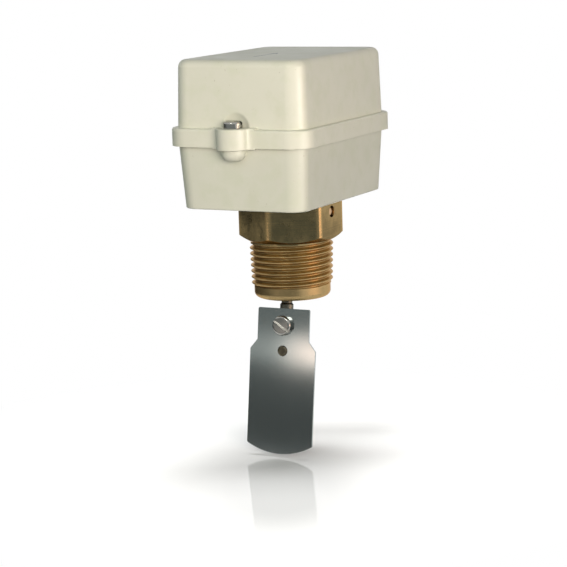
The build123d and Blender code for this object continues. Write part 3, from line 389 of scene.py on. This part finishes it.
def moulded_ivory(name, colours, printed):
    """Ivory moulded plastic: fine spark grain, faint flow marks, specks and handling marks."""
    f = new_finish(name)
    # The base takes its own ivory, darker than the cover's as painted shade under the band.
    colour = colours.ivory if printed else colours.base_ivory_with_painted_shade
    mottled = (colour[0] * 0.90, colour[1] * 0.93, colour[2] * 0.86)
    speck_brown = (0.30, 0.25, 0.16)
    smear_olive = (0.47, 0.45, 0.33)
    cloud = f.ease(f.noise(16, 3), 0.35, 0.68)
    mottle = f.ease(f.noise(3.2, 3, 0.6), 0.42, 0.70)
    speck = f.ease(f.noise(0.55, 1), 0.735, 0.78) * f.ease(f.noise(9, 1), 0.45, 0.62)
    smear = f.ease(f.noise(11, 4, 0.62, (1.0, 1.0, 0.35)), 0.55, 0.74)
    base = f.blend(0.5 * cloud, colour, scaled(colour, 0.93))
    base = f.blend(0.5 * mottle, base, mottled)
    base = f.blend(colours.wear * 0.5 * speck, base, speck_brown)
    base = f.blend(colours.wear * 0.22 * smear, base, smear_olive)
    if printed:
        base = f.blend(flow_arrow(f), base, colours.arrow)
    roughness = f.ease(f.noise(6, 3), 0.3, 0.7, 0.40, 0.50) - 0.06 * smear
    grain = f.noise(0.42, 2) + 0.6 * f.noise(1.3, 2)
    normal = f.bump(grain, 0.035, 0.55, over=f.bump(f.noise(12, 2), 0.18))
    return f.close(f.surface(Base_Color=base, Roughness=roughness, Normal=normal, IOR=1.50))


def turned_brass(name, colours, edge_radius):
    """Machined brass gone dull: turning rings, olive patina, warm edges at a radius, and a lighter thread that is
    partly bare metal and partly painted light, as the hexagon lies in the housing's shade.
    """
    f = new_finish(name)
    shoulder = 0.2 * MM
    warm_rim = (1.0, 0.78, 0.60, 1.0)
    dull = f.ease(f.noise(7, 4, 0.6), 0.34, 0.66)
    stain = f.ease(f.noise(2.2, 3, 0.65), 0.52, 0.72)
    rings = f.noise(1.0, 2, 0.6, (0.05, 0.05, 9.0))
    x, y, z = f.axes(f.place())
    # Lighter and warmer below the hexagon: partly bare cut thread, partly painted light, as the hexagon above lies
    # in the housing's shade.
    thread_bare_and_painted_light = 1.0 - f.ease(z, -1.6 * MM, shoulder)
    outermost = f.ease((x * x + y * y) ** 0.5, edge_radius - 0.75 * MM, edge_radius - 0.05 * MM)
    edge = outermost * f.ease(z, shoulder, shoulder + 1.0 * MM)
    rubbed_and_painted_light = 0.42 * thread_bare_and_painted_light + 0.5 * edge + 0.18 * f.ease(rings, 0.5, 0.75)
    base = f.blend(dull, colours.brass, scaled(colours.patina, 1.6))
    base = f.blend(colours.wear * 0.7 * stain, base, colours.patina)
    base = f.blend(rubbed_and_painted_light, base, colours.rubbed_and_painted_light)
    roughness = 0.16 + 0.12 * thread_bare_and_painted_light + 0.07 * dull + 0.10 * stain
    normal = f.bump(rings, 0.02, 0.5)
    return f.close(
        f.surface(
            Base_Color=base, Metallic=1.0, Specular_Tint=warm_rim, Roughness=roughness, Normal=normal
        )
    )


def rolled_sheet(name, colour, colours, lines, roughness=0.30, unevenness=1.0):
    """Rolled metal sheet: fine rolling lines, soft clouding and finger marks."""
    f = new_finish(name)
    streak = f.noise(0.9, 2, 0.5, lines)
    cloud = f.ease(f.noise(12, 3), 0.33, 0.68)
    mark = f.ease(f.noise(1.6, 3, 0.6), 0.60, 0.74)
    base = f.blend(0.45 * cloud, colour, scaled(colour, 0.86))
    base = f.blend(0.25 * streak, base, scaled(colour, 1.2))
    fingered = (colour[0] * 1.05, colour[1] * 0.92, colour[2] * 0.80)
    base = f.blend(colours.wear * 0.3 * mark, base, fingered)
    rough = roughness + 0.08 * unevenness * (streak + cloud)
    normal = f.bump(streak, 0.012 * unevenness, 0.5)
    return f.close(f.surface(Base_Color=base, Metallic=1.0, Roughness=rough, Normal=normal))


def turned_steel(name, colour, colours, roughness):
    """Turned metal, bare or plated: faint tool marks and a few dull spots."""
    f = new_finish(name)
    marks = f.noise(0.35, 3, 0.6)
    cloud = f.ease(f.noise(2.5, 3), 0.38, 0.66)
    spot = f.ease(f.noise(0.8, 3), 0.6, 0.75)
    base = f.blend(0.5 * cloud, colour, scaled(colour, 0.78))
    base = f.blend(colours.wear * 0.35 * spot, base, scaled(colour, 0.45))
    rough = roughness + 0.12 * cloud + 0.06 * marks
    normal = f.bump(marks, 0.008, 0.6)
    return f.close(f.surface(Base_Color=base, Metallic=1.0, Roughness=rough, Normal=normal))


def dark_copper(name, colours):
    """Aged copper: brown with a paler bloom."""
    f = new_finish(name)
    bloom = f.ease(f.noise(0.8, 3), 0.4, 0.68)
    base = f.blend(bloom, colours.copper, scaled(colours.copper, 1.5))
    rough = 0.34 + 0.16 * bloom
    normal = f.bump(bloom, 0.01, 0.5)
    return f.close(f.surface(Base_Color=base, Metallic=1.0, Roughness=rough, Normal=normal))


def formed_bronze(name, colours):
    """Formed bronze, clouded darker in places."""
    f = new_finish(name)
    cloud = f.ease(f.noise(3, 3), 0.36, 0.68)
    base = f.blend(cloud, colours.bronze, scaled(colours.bronze, 0.66))
    rough = 0.27 + 0.14 * cloud
    normal = f.bump(f.noise(0.5, 2), 0.006, 0.5)
    return f.close(f.surface(Base_Color=base, Metallic=1.0, Roughness=rough, Normal=normal))


def small_moulding(name, colour, roughness, grain=0.3):
    """Plastic or rubber of the small pieces: slight clouding and fine grain."""
    f = new_finish(name)
    cloud = f.ease(f.noise(4, 3), 0.35, 0.68)
    dust = f.ease(f.noise(0.6, 2), 0.62, 0.76)
    dust_grey = (0.42, 0.40, 0.36)
    base = f.blend(cloud, colour, scaled(colour, 0.80))
    base = f.blend(0.12 * dust, base, dust_grey)
    rough = roughness + 0.10 * cloud
    normal = f.bump(f.noise(grain, 2), 0.02, 0.6)
    return f.close(f.surface(Base_Color=base, Roughness=rough, Normal=normal))


def dress(material, *nodes):
    """Put a finish on CAD nodes."""
    for name in nodes:
        node = frame["nodes"][name]
        if not node.material_slots:
            raise RuntimeError(f"{name} has no material slot")
        for material_slot in node.material_slots:
            material_slot.link = "OBJECT"
            material_slot.material = material


# Meshes


def new_piece(name, mesh_data, material, body):
    """An object from a bmesh, with its finish, riding on a body."""
    mesh = bpy.data.meshes.new(name)
    mesh_data.to_mesh(mesh)
    mesh_data.free()
    mesh.materials.append(material)
    piece = bpy.data.objects.new(name, mesh)
    bpy.context.scene.collection.objects.link(piece)
    if body:
        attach(piece, body)
    return piece


def thread_profile(phase, depth):
    """Height of a rounded 55 degree thread above its root, for a phase that is whole at each crest."""
    flank = 1.5
    straight = 0.5
    from_crest = abs(phase - floor(phase + 0.5))
    ramp = (1.0 - 4.0 * from_crest) * flank
    size = abs(ramp)
    rounded = size if size < straight else size - 0.5 * (size - straight) ** 2
    return 0.5 * depth * (1.0 + (rounded if ramp > 0 else -rounded))


def grid_faces(mesh_data, rows):
    """Quads between rows of points that each close on themselves."""
    made = [[mesh_data.verts.new(point) for point in row] for row in rows]
    for low, high in zip(made, made[1:]):
        for index in range(len(low)):
            after = (index + 1) % len(low)
            mesh_data.faces.new((low[index], low[after], high[after], high[index])).smooth = True
    return made


def thread_rows(place, low, high, radius, pitch, depth, limit, sides, start=0.0, taper=0.0):
    """Rings of a right-handed thread along an axis, with the wall's own radius at both ends.

    place turns a radius, an angle and a height into a point, and limit gives the most the radius may be
    at a height. The thread starts at an angle and grows by its taper towards the high end."""
    rings_per_pitch = 18
    steps = round((high - low) / pitch * rings_per_pitch)
    rows = [[place(limit(low), tau * side / sides, low) for side in range(sides)]]
    for step in range(steps + 1):
        height = low + (high - low) * step / steps
        root = radius - (high - height) * taper - depth
        ring = []
        for side in range(sides):
            turn = tau * side / sides
            phase = height / pitch - (turn + start) / tau
            out = min(root + thread_profile(phase, depth), limit(height))
            ring.append(place(out, turn, height))
        rows.append(ring)
    rows.append([place(radius, tau * side / sides, high) for side in range(sides)])
    return rows


def without_wall(node, base, direction, radius, low, high, step):
    """A copy of a node's mesh without the round wall that a thread takes, nor its end down to a step."""
    mesh_data = bmesh.new()
    mesh_data.from_mesh(frame["nodes"][node].data)
    slack = 0.03 * MM

    def measured(point):
        along = (point - base).dot(direction)
        return along, (point - base - direction * along).length

    def on_wall(point):
        along, out = measured(point)
        return abs(out - radius) < slack and low - slack < along < high + slack

    def on_step(point):
        along, out = measured(point)
        return abs(along - low) < slack and step - slack < out < radius + slack

    wall = [
        face
        for face in mesh_data.faces
        if all(on_wall(vertex.co) for vertex in face.verts) and abs(face.normal.dot(direction)) < 0.1
    ]
    ledge = [face for face in mesh_data.faces if all(on_step(vertex.co) for vertex in face.verts)]
    if not wall:
        raise RuntimeError(f"{node} has no round wall of {radius / MM:.2f} mm there")
    bmesh.ops.delete(mesh_data, geom=list(set(wall + ledge)), context="FACES")
    return mesh_data


def tube_rows(centres, frames, radius, sides=14):
    """Rings round each centre, in the plane of its frame's two directions."""
    turns = [tau * side / sides for side in range(sides)]
    return [
        [centre + (first * cos(turn) + second * sin(turn)) * radius for turn in turns]
        for centre, (first, second) in zip(centres, frames)
    ]


def cap_ends(mesh_data, rows):
    """Close the first and last ring with a face each."""
    mesh_data.faces.new(rows[0])
    mesh_data.faces.new(list(reversed(rows[-1])))


# Pieces


class FLOWSWITCH_OT_brass_body(bpy.types.Operator):
    """Brass body with its tapered pipe thread cut round it"""

    bl_idname = "flowswitch.brass_body"
    bl_label = "Brass body"

    def execute(self, context):
        sizes = context.scene.flow_switch_sizes
        radius = pipe["r_mm"] * MM
        low = -pipe["length_mm"] * MM
        taper = 1 / 32
        lead_slope = 1.4
        run_out = 1.6
        mesh_data = without_wall("brass_body", Vector(), Vector((0, 0, 1)), radius, low, 0.0, sizes.pipe_lead)
        corner = max(Vector((point.co.x, point.co.y)).length for point in mesh_data.verts)

        def place(out, turn, height):
            return Vector((out * cos(turn), out * sin(turn), height))

        def limit(height):
            lead = sizes.pipe_lead + (height - low) * lead_slope
            sunk = min(1.0, max(0.0, run_out + height / sizes.pipe_relief))
            crest = radius if height <= -sizes.pipe_relief else radius - sizes.pipe_neck * sunk
            return min(lead, crest)

        rows = thread_rows(
            place,
            low,
            0.0,
            radius,
            sizes.pipe_pitch,
            sizes.pipe_depth,
            limit,
            sides=220,
            start=sizes.pipe_start,
            taper=taper,
        )
        grid_faces(mesh_data, rows)
        finish = turned_brass("turned_brass", context.scene.flow_switch_colours, corner)
        piece = new_piece("brass_body_threaded", mesh_data, finish, "housing")
        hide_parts("brass_body")
        return {"FINISHED"}


class FLOWSWITCH_OT_bellows(bpy.types.Operator):
    """Bellows with rounded folds, which bends between the body and the arm"""

    bl_idname = "flowswitch.bellows"
    bl_label = "Bellows"

    def execute(self, context):
        sizes = context.scene.flow_switch_sizes
        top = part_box("bellows")[1].z
        nut_low, nut_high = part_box("lever_nut")
        nut = nut_low.lerp(nut_high, 0.5) - pivot
        tilt = atan2(nut.y, nut.z)
        cap = pivot - Vector((0, sin(tilt), cos(tilt))) * sizes.bellows_reach
        span = top - cap.z
        cuff = sizes.bellows_cuff / span
        rings_per_fold = 18
        rings = sizes.bellows_folds * rings_per_fold
        sides = 72
        middle = (sizes.bellows_outer + sizes.bellows_inner) / 2
        swing = (sizes.bellows_outer - sizes.bellows_inner) / 2
        cuff_radius = sizes.bellows_inner + 0.4 * MM

        def ring(amount, out):
            bend = amount * amount * (3 - 2 * amount)
            lean = tilt * amount
            centre = Vector((0, cap.y * bend, top - span * amount))
            forward = Vector((0, cos(lean), -sin(lean)))
            turns = [tau * side / sides for side in range(sides)]
            return [centre + (Vector((1, 0, 0)) * cos(turn) + forward * sin(turn)) * out for turn in turns]

        amounts = [cuff + (1 - 2 * cuff) * step / rings for step in range(rings + 1)]
        outs = [middle - swing * cos(tau * sizes.bellows_folds * step / rings) for step in range(rings + 1)]
        amounts = [0.0, *amounts, 1.0]
        outs = [cuff_radius, *outs, cuff_radius]
        skin = [ring(amount, out) for amount, out in zip(amounts, outs)]
        lining = [ring(amount, out - sizes.bellows_wall) for amount, out in zip(amounts, outs)]
        mesh_data = bmesh.new()
        grid_faces(mesh_data, skin + lining[::-1] + skin[:1])
        bmesh.ops.remove_doubles(mesh_data, verts=mesh_data.verts, dist=0.001 * MM)
        bmesh.ops.recalc_face_normals(mesh_data, faces=mesh_data.faces)
        finish = formed_bronze("formed_bronze", context.scene.flow_switch_colours)
        piece = new_piece("bellows_skin", mesh_data, finish, None)
        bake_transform(piece)
        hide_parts("bellows")
        return {"FINISHED"}


class FLOWSWITCH_OT_range_spring(bpy.types.Operator):
    """Range spring in two halves, the lower and the upper half of the coil"""

    bl_idname = "flowswitch.range_spring"
    bl_label = "Range spring"

    def execute(self, context):
        sizes = context.scene.flow_switch_sizes
        low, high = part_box("range_spring")
        centre = (low + high) / 2
        wire = sizes.coil_wire
        radius = (high.x - low.x) / 2 - wire
        foot = low.z + wire
        head = high.z - wire
        turns = sizes.coil_turns
        rings_per_turn = 40
        steps = round(turns * rings_per_turn)
        closed = 0.8 / turns
        closed_slope = 0.22
        colours = context.scene.flow_switch_colours
        finish = turned_steel("spring_wire", colours.zinc, colours, 0.24)

        def climb(amount):
            if amount < closed:
                return amount * closed_slope
            if amount > 1 - closed:
                return 1 - (1 - amount) * closed_slope
            rise = closed * closed_slope
            return rise + (amount - closed) / (1 - 2 * closed) * (1 - 2 * rise)

        points = []
        for step in range(steps + 1):
            turn = tau * turns * step / steps
            height = foot + (head - foot) * climb(step / steps)
            points.append(Vector((centre.x + radius * cos(turn), centre.y + radius * sin(turn), height)))
        half = steps // 2
        for name, part, body, start, end in (
            ("range_spring_lower", points[: half + 1], "arm", points[half], points[0]),
            ("range_spring_upper", points[half:], "range_nut", points[half], points[-1]),
        ):
            frames = []
            for index, point in enumerate(part):
                ahead = part[min(index + 1, len(part) - 1)] - part[max(index - 1, 0)]
                outward = Vector((point.x - centre.x, point.y - centre.y, 0)).normalized()
                frames.append((outward, ahead.normalized().cross(outward)))
            mesh_data = bmesh.new()
            made = grid_faces(mesh_data, tube_rows(part, frames, wire))
            cap_ends(mesh_data, made)
            bmesh.ops.recalc_face_normals(mesh_data, faces=mesh_data.faces)
            piece = new_piece(name, mesh_data, finish, None)
            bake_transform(piece)
            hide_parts("range_spring")
        return {"FINISHED"}


class FLOWSWITCH_OT_range_screw(bpy.types.Operator):
    """Range screw with its thread below the retaining clip"""

    bl_idname = "flowswitch.range_screw"
    bl_label = "Range screw"

    def execute(self, context):
        sizes = context.scene.flow_switch_sizes
        low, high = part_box("range_screw")
        axis_x, axis_y = (low.x + high.x) / 2, (low.y + high.y) / 2
        base = Vector((axis_x, axis_y, 0))
        radius = 2.0 * MM
        end_chamfer = 0.45 * MM
        sides = 56
        head_low = joints["range_turn"]["pos_m"][2]
        thread_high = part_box("range_clip")[0].z - 0.3 * MM
        mesh_data = without_wall("range_screw", base, Vector((0, 0, 1)), radius, low.z, head_low, 0.0)

        def place(out, turn, height):
            return Vector((axis_x + out * cos(turn), axis_y + out * sin(turn), height))

        def limit(height):
            return radius - end_chamfer + (height - low.z)

        rows = thread_rows(
            place, low.z, thread_high, radius, sizes.screw_pitch, sizes.screw_depth, limit, sides
        )
        rows.append([place(radius, tau * side / sides, head_low) for side in range(sides)])
        made = grid_faces(mesh_data, rows)
        mesh_data.faces.new(made[0])
        colours = context.scene.flow_switch_colours
        finish = turned_steel("screw_zinc", colours.zinc, colours, 0.20)
        piece = new_piece("range_screw_threaded", mesh_data, finish, "range_screw")
        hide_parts("range_screw")
        return {"FINISHED"}


class FLOWSWITCH_OT_housing(bpy.types.Operator):
    """Ivory finish of the housing base and cover, with the flow arrow"""

    bl_idname = "flowswitch.housing"
    bl_label = "Housing and cover"

    def execute(self, context):
        colours = context.scene.flow_switch_colours
        dress(moulded_ivory("moulded_ivory", colours, False), "base_housing")
        dress(moulded_ivory("moulded_ivory_printed", colours, True), "cover")
        return {"FINISHED"}


class FLOWSWITCH_OT_metals(bpy.types.Operator):
    """Finishes of the paddle, arm, screws, bracket and terminals"""

    bl_idname = "flowswitch.metals"
    bl_label = "Metal finishes"

    def execute(self, context):
        colours = context.scene.flow_switch_colours
        rolled_down = (4.0, 1.0, 0.07)
        rolled_along = (1.0, 0.1, 1.0)
        dress(rolled_sheet("rolled_stainless", colours.paddle, colours, rolled_down, 0.11, 0.25), "paddle")
        # The paddle arm's dark steel is painted shade under the brass body.
        dress(turned_steel("turned_stainless", colours.steel, colours, 0.30), "paddle_arm")
        dress(turned_steel("pin_bronze", colours.pin, colours, 0.26), "pivot_pin")
        dress(
            turned_steel("dull_zinc", colours.screws, colours, 0.09),
            "cover_screws",
            "paddle_screw",
            "chassis_screws",
        )
        dress(
            turned_steel("bright_zinc", colours.zinc, colours, 0.18),
            "lever_nut",
            "microswitch_screws",
            "microswitch_nuts",
            "terminal_screws",
            "range_clip",
            "range_nut",
        )
        dress(
            rolled_sheet("zinc_sheet", colours.sheet_zinc, colours, rolled_along, 0.36),
            "chassis_bracket",
            "trip_lever",
            "microswitch_leaf",
        )
        dress(dark_copper("dark_copper", colours), "locating_pin")
        dress(formed_bronze("seat_bronze", colours), "bellows_seat", "bellows_cap")
        dress(turned_brass("locknut_brass", colours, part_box("body_locknut")[1].x), "body_locknut")
        dress(
            turned_steel("terminal_brass", colours.terminal, colours, 0.24),
            "earth_clamp",
            "earth_screw",
            "terminal_plates",
        )
        return {"FINISHED"}


class FLOWSWITCH_OT_mouldings(bpy.types.Operator):
    """Finishes of the microswitch, gaskets, washers and cable gland"""

    bl_idname = "flowswitch.mouldings"
    bl_label = "Small mouldings"

    def execute(self, context):
        colours = context.scene.flow_switch_colours
        dress(small_moulding("switch_phenolic", colours.phenolic, 0.46), "microswitch_case")
        dress(small_moulding("switch_button", colours.button, 0.30), "microswitch_plunger")
        dress(
            small_moulding("seal_rubber", colours.rubber, 0.62, 0.5),
            "cover_gasket",
            "body_gasket",
            "gland_seal",
        )
        dress(small_moulding("white_washer", colours.washer, 0.42), "pivot_washers")
        dress(
            small_moulding("gland_polyamide", colours.gland, 0.44),
            "gland_body",
            "gland_locknut",
            "gland_nut",
        )
        return {"FINISHED"}


# Studio


def lamp(name, direction, size, watts, colour, unseen_by=None, receivers=None, distance=1.0):
    """A soft rectangular lamp that shines on the object from a direction.

    It may be unseen by diffuse or by glossy rays, and may light only the pieces of a collection."""
    aim = Vector((0, 0, 10 * MM))
    data = bpy.data.lights.new(name, "AREA")
    data.energy = watts
    data.color = colour
    data.shape = "RECTANGLE"
    data.size, data.size_y = size
    lit = bpy.data.objects.new(name, data)
    lit.location = aim + Vector(direction).normalized() * distance
    lit.rotation_euler = Vector(direction).to_track_quat("Z", "Y").to_euler()
    bpy.context.scene.collection.objects.link(lit)
    if unseen_by:
        setattr(lit, f"visible_{unseen_by}", False)
    if receivers is not None:
        lit.light_linking.receiver_collection = receivers
    return lit


def linked(name, pieces):
    """A collection of pieces for a lamp's light linking."""
    group = bpy.data.collections.new(name)
    for piece in pieces:
        group.objects.link(piece)
    return group


def object_meshes():
    """Every mesh of the object, without the studio's own."""
    meshes = [piece for piece in bpy.context.scene.objects if piece.type == "MESH"]
    return [piece for piece in meshes if "studio" not in piece.name]


def seen_ray(f):
    """1 for the rays that show a surface: from the camera, by reflection or through something clear."""
    camera = f.node("ShaderNodeLightPath", {}, {}, "Is Camera Ray")
    return camera + camera.other("Is Glossy Ray") + camera.other("Is Transmission Ray")


def white_room(level):
    """World that lights matt surfaces at a level, and is plain white to the camera and in reflections."""
    world = bpy.data.worlds.new("white_room")
    bpy.context.scene.world = world
    f = Finish(world)
    lighting = f.node("ShaderNodeBackground", {}, {"Color": WHITE, "Strength": level})
    backdrop = f.node("ShaderNodeBackground", {}, {"Color": WHITE, "Strength": 1.0})
    return f.close(f.mix_shaders(seen_ray(f), lighting, backdrop))


def painted_reflection_drape(patch, low, high, glow):
    """Glowing drape, dark below and to the left and paler above, with one soft bright patch: painted reflections
    for the metal, and a painted highlight on the paddle from the patch.
    """
    f = new_finish("painted_reflection_drape")
    cool, warm = (0.93, 1.0, 0.99), (1.0, 0.77, 0.68)
    left, right = -185 * MM, -110 * MM
    core, core_edge = 7 * MM, 23 * MM
    band, band_edge = 2 * MM, 10 * MM
    halo = 0.17
    droop = 0.04
    x, y, z = f.axes(f.place())
    # Painted reflection: the glow grades from dark low and left to paler high and right, and the patch paints the
    # paddle's highlight.
    grade = f.ease(z, low, high, 0.10, 0.46) * f.ease(x, left, right, 0.20, 1.0)
    away = ((x - patch.x) ** 2 + (y - patch.y) ** 2) ** 0.5
    across = f.ease(away, core, core_edge, 1.0, halo)
    gleam = across * f.ease(abs(z - patch.z - droop * away), band, band_edge, 1.0, 0.0)
    return f.close(f.glow(f.blend(gleam, cool, warm), grade + glow * gleam))


def pale_floor(tone, foot, front, fade):
    """White floor with a faint sheen before the foot, which takes shadows near the object and fades out."""
    f = new_finish("pale_floor")
    sheen_ahead, sheen_length, sheen_width = 46 * MM, 78, 40
    inner, outer = 0.38 * MM, 1.0 * MM
    matt_lift = 1.16
    fade_end = 1.8 * fade
    dim = (0.12, 0.12, 0.12)
    bounced = f.node("ShaderNodeLightPath", {}, {}, "Is Diffuse Ray")
    gloss_tone = f.blend(bounced, scaled(WHITE, tone), dim)
    matt_tone = f.blend(bounced, scaled(WHITE, tone * matt_lift), dim)
    glossy = f.surface(Base_Color=gloss_tone, Roughness=0.05, IOR=1.38)
    matt = f.surface(Base_Color=matt_tone, Roughness=0.9, IOR=1.01)
    x, y = f.axes(f.place())[:2]
    ahead = (x - foot.x) * front.x + (y - foot.y) * front.y
    aside = (x - foot.x) * front.y - (y - foot.y) * front.x
    spot = (((ahead - sheen_ahead) / sheen_length) ** 2 + (aside / sheen_width) ** 2) ** 0.5
    lit = f.mix_shaders(f.ease(spot, inner, outer), glossy, matt)
    away = ((x - foot.x) ** 2 + (y - foot.y) ** 2) ** 0.5
    far = f.ease(away, fade, fade_end) * seen_ray(f)
    near = f.mix_shaders(far, lit, f.glow(WHITE, 1.0))
    below = f.node("ShaderNodeNewGeometry", {}, {}, "Backfacing")
    clear = f.node("ShaderNodeBsdfTransparent", {}, {"Color": WHITE})
    return f.close(f.mix_shaders(below, near, clear))


def lay_floor(stage, floor_z):
    """Wide floor under the paddle."""
    low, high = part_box("paddle")
    foot = Vector(((low.x + high.x) / 2, low.y, floor_z))
    front = (Vector(stage.camera_place) - foot).xy.normalized()
    reach = stage.floor_radius
    mesh_data = bmesh.new()
    ways = ((-1, -1), (1, -1), (1, 1), (-1, 1))
    mesh_data.faces.new([mesh_data.verts.new((reach * x, reach * y, floor_z)) for x, y in ways])
    finish = pale_floor(stage.floor_tone, foot, front, stage.floor_fade)
    ground = new_piece("studio_floor", mesh_data, finish, None)
    return ground


def hang_drape(stage, floor_z):
    """Upright drape round the object's front and left, which only reflections show: it glows, and so paints
    reflections and a highlight on the metal.
    """
    patch = Vector((-67 * MM, -189 * MM, -31.6 * MM))
    start, sweep, steps = -44, -176, 48
    out = stage.drape_radius
    mesh_data = bmesh.new()
    columns = []
    for step in range(steps + 1):
        turn = radians(start + sweep * step / steps)
        x, y = out * cos(turn), out * sin(turn)
        columns.append([mesh_data.verts.new((x, y, height)) for height in (floor_z, stage.drape_top)])
    for first, second in zip(columns, columns[1:]):
        mesh_data.faces.new((first[0], second[0], second[1], first[1]))
    finish = painted_reflection_drape(patch, floor_z, stage.drape_top, stage.drape_glow)
    drape = new_piece("studio_drape", mesh_data, finish, None)
    for ray in ("camera", "diffuse", "shadow", "transmission", "volume_scatter"):
        setattr(drape, f"visible_{ray}", False)


def light_object(stage):
    """Soft lamps round the object."""
    pieces = linked("object_pieces", object_meshes())
    shells = linked("sheen_receivers", [frame["nodes"]["cover"], frame["nodes"]["base_housing"]])
    rear_white = (1.0, 0.98, 0.95)
    lamp("key_lamp", (0.595, -0.77, 0.14), (0.56, 0.38), stage.key, (1.0, 0.905, 0.81), "glossy")
    lamp("sheen_lamp", (0.96, -0.26, -0.02), (0.52, 0.26), stage.sheen, (1.0, 0.95, 0.86), "diffuse", shells)
    lamp("rear_lamp", (-0.09, 0.99, 0.10), (0.5, 0.4), stage.rear, rear_white, "glossy", pieces)
    lamp("rear_left_lamp", (-0.86, 0.50, 0.10), (0.5, 0.4), stage.rear, rear_white, "glossy", pieces)
    lamp("fill_lamp", (0.14, -0.83, 0.54), (0.7, 0.5), stage.fill, (0.87, 1.0, 0.99), "glossy", distance=1.2)
    lamp("side_lamp", (0.985, 0.06, 0.01), (0.60, 0.30), stage.side, (1.0, 0.60, 0.42), "diffuse", pieces)
    lamp("cool_lamp", (-0.81, -0.47, 0.36), (0.5, 0.5), stage.cool, (0.76, 1.0, 0.93), "glossy")
    lamp("gleam_lamp", (0.05, -0.83, 0.55), (0.34, 0.16), stage.gleam, (1.0, 0.98, 0.94), "diffuse", pieces)


def shade_floor(stage, ground):
    """Overhead lamp on the floor alone, which throws the shadow of what hangs below the housing."""
    receivers = linked("shade_receivers", [ground])
    shade = lamp("shade_lamp", (-0.08, 0.155, 1.0), (0.56, 0.20), stage.shade, WHITE, "glossy", receivers)
    shade.rotation_euler = Euler((0, 0, stage.camera_turn[2]))
    casters = [
        piece for piece in object_meshes() if "cover" not in piece.name and "housing" not in piece.name
    ]
    shade.light_linking.blocker_collection = linked("shade_casters", casters)


def place_camera(stage):
    """Camera where the photograph was taken from."""
    data = bpy.data.cameras.new("photo_camera")
    data.lens = stage.camera_lens
    data.sensor_width = 36.0
    camera = bpy.data.objects.new("photo_camera", data)
    camera.location = stage.camera_place
    camera.rotation_euler = Euler(stage.camera_turn)
    bpy.context.scene.collection.objects.link(camera)
    bpy.context.scene.camera = camera


class FLOWSWITCH_OT_studio(bpy.types.Operator):
    """Floor, white room, soft lamps, drape and the camera"""

    bl_idname = "flowswitch.studio"
    bl_label = "Studio"

    def execute(self, context):
        stage = context.scene.flow_switch_stage
        context.scene.view_settings.view_transform = "Standard"
        white_room(stage.surround)
        floor_z = cad_box[0][2] - stage.floor_gap
        ground = lay_floor(stage, floor_z)
        light_object(stage)
        shade_floor(stage, ground)
        hang_drape(stage, floor_z)
        place_camera(stage)
        return {"FINISHED"}


class FLOWSWITCH_PT_pieces(bpy.types.Panel):
    """Pieces of the flow switch in the order they are made"""

    bl_label = "Flow switch"
    bl_idname = "FLOWSWITCH_PT_pieces"
    bl_space_type = "VIEW_3D"
    bl_region_type = "UI"
    bl_category = "Flow switch"

    def draw(self, context):
        for piece in PIECES:
            self.layout.operator(piece.bl_idname)
        scene = context.scene
        for group in (scene.flow_switch_sizes, scene.flow_switch_colours, scene.flow_switch_stage):
            box = self.layout.box()
            for name in group.__annotations__:
                box.prop(group, name)


PIECES = (
    FLOWSWITCH_OT_housing,
    FLOWSWITCH_OT_metals,
    FLOWSWITCH_OT_mouldings,
    FLOWSWITCH_OT_brass_body,
    FLOWSWITCH_OT_bellows,
    FLOWSWITCH_OT_range_spring,
    FLOWSWITCH_OT_range_screw,
    FLOWSWITCH_OT_studio,
)
GROUPS = (FlowSwitchSizes, FlowSwitchColours, FlowSwitchStage)


def register():
    for kind in GROUPS + PIECES + (FLOWSWITCH_PT_pieces,):
        bpy.utils.register_class(kind)
    bpy.types.Scene.flow_switch_sizes = PointerProperty(type=FlowSwitchSizes)
    bpy.types.Scene.flow_switch_colours = PointerProperty(type=FlowSwitchColours)
    bpy.types.Scene.flow_switch_stage = PointerProperty(type=FlowSwitchStage)


def unregister():
    del bpy.types.Scene.flow_switch_stage
    del bpy.types.Scene.flow_switch_colours
    del bpy.types.Scene.flow_switch_sizes
    for kind in reversed(GROUPS + PIECES + (FLOWSWITCH_PT_pieces,)):
        bpy.utils.unregister_class(kind)


def main():
    register()
    bpy.ops.flowswitch.housing()
    bpy.ops.flowswitch.metals()
    bpy.ops.flowswitch.mouldings()
    bpy.ops.flowswitch.brass_body()
    bpy.ops.flowswitch.bellows()
    bpy.ops.flowswitch.range_spring()
    bpy.ops.flowswitch.range_screw()
    bpy.ops.flowswitch.studio()


if __name__ == "__main__":
    main()
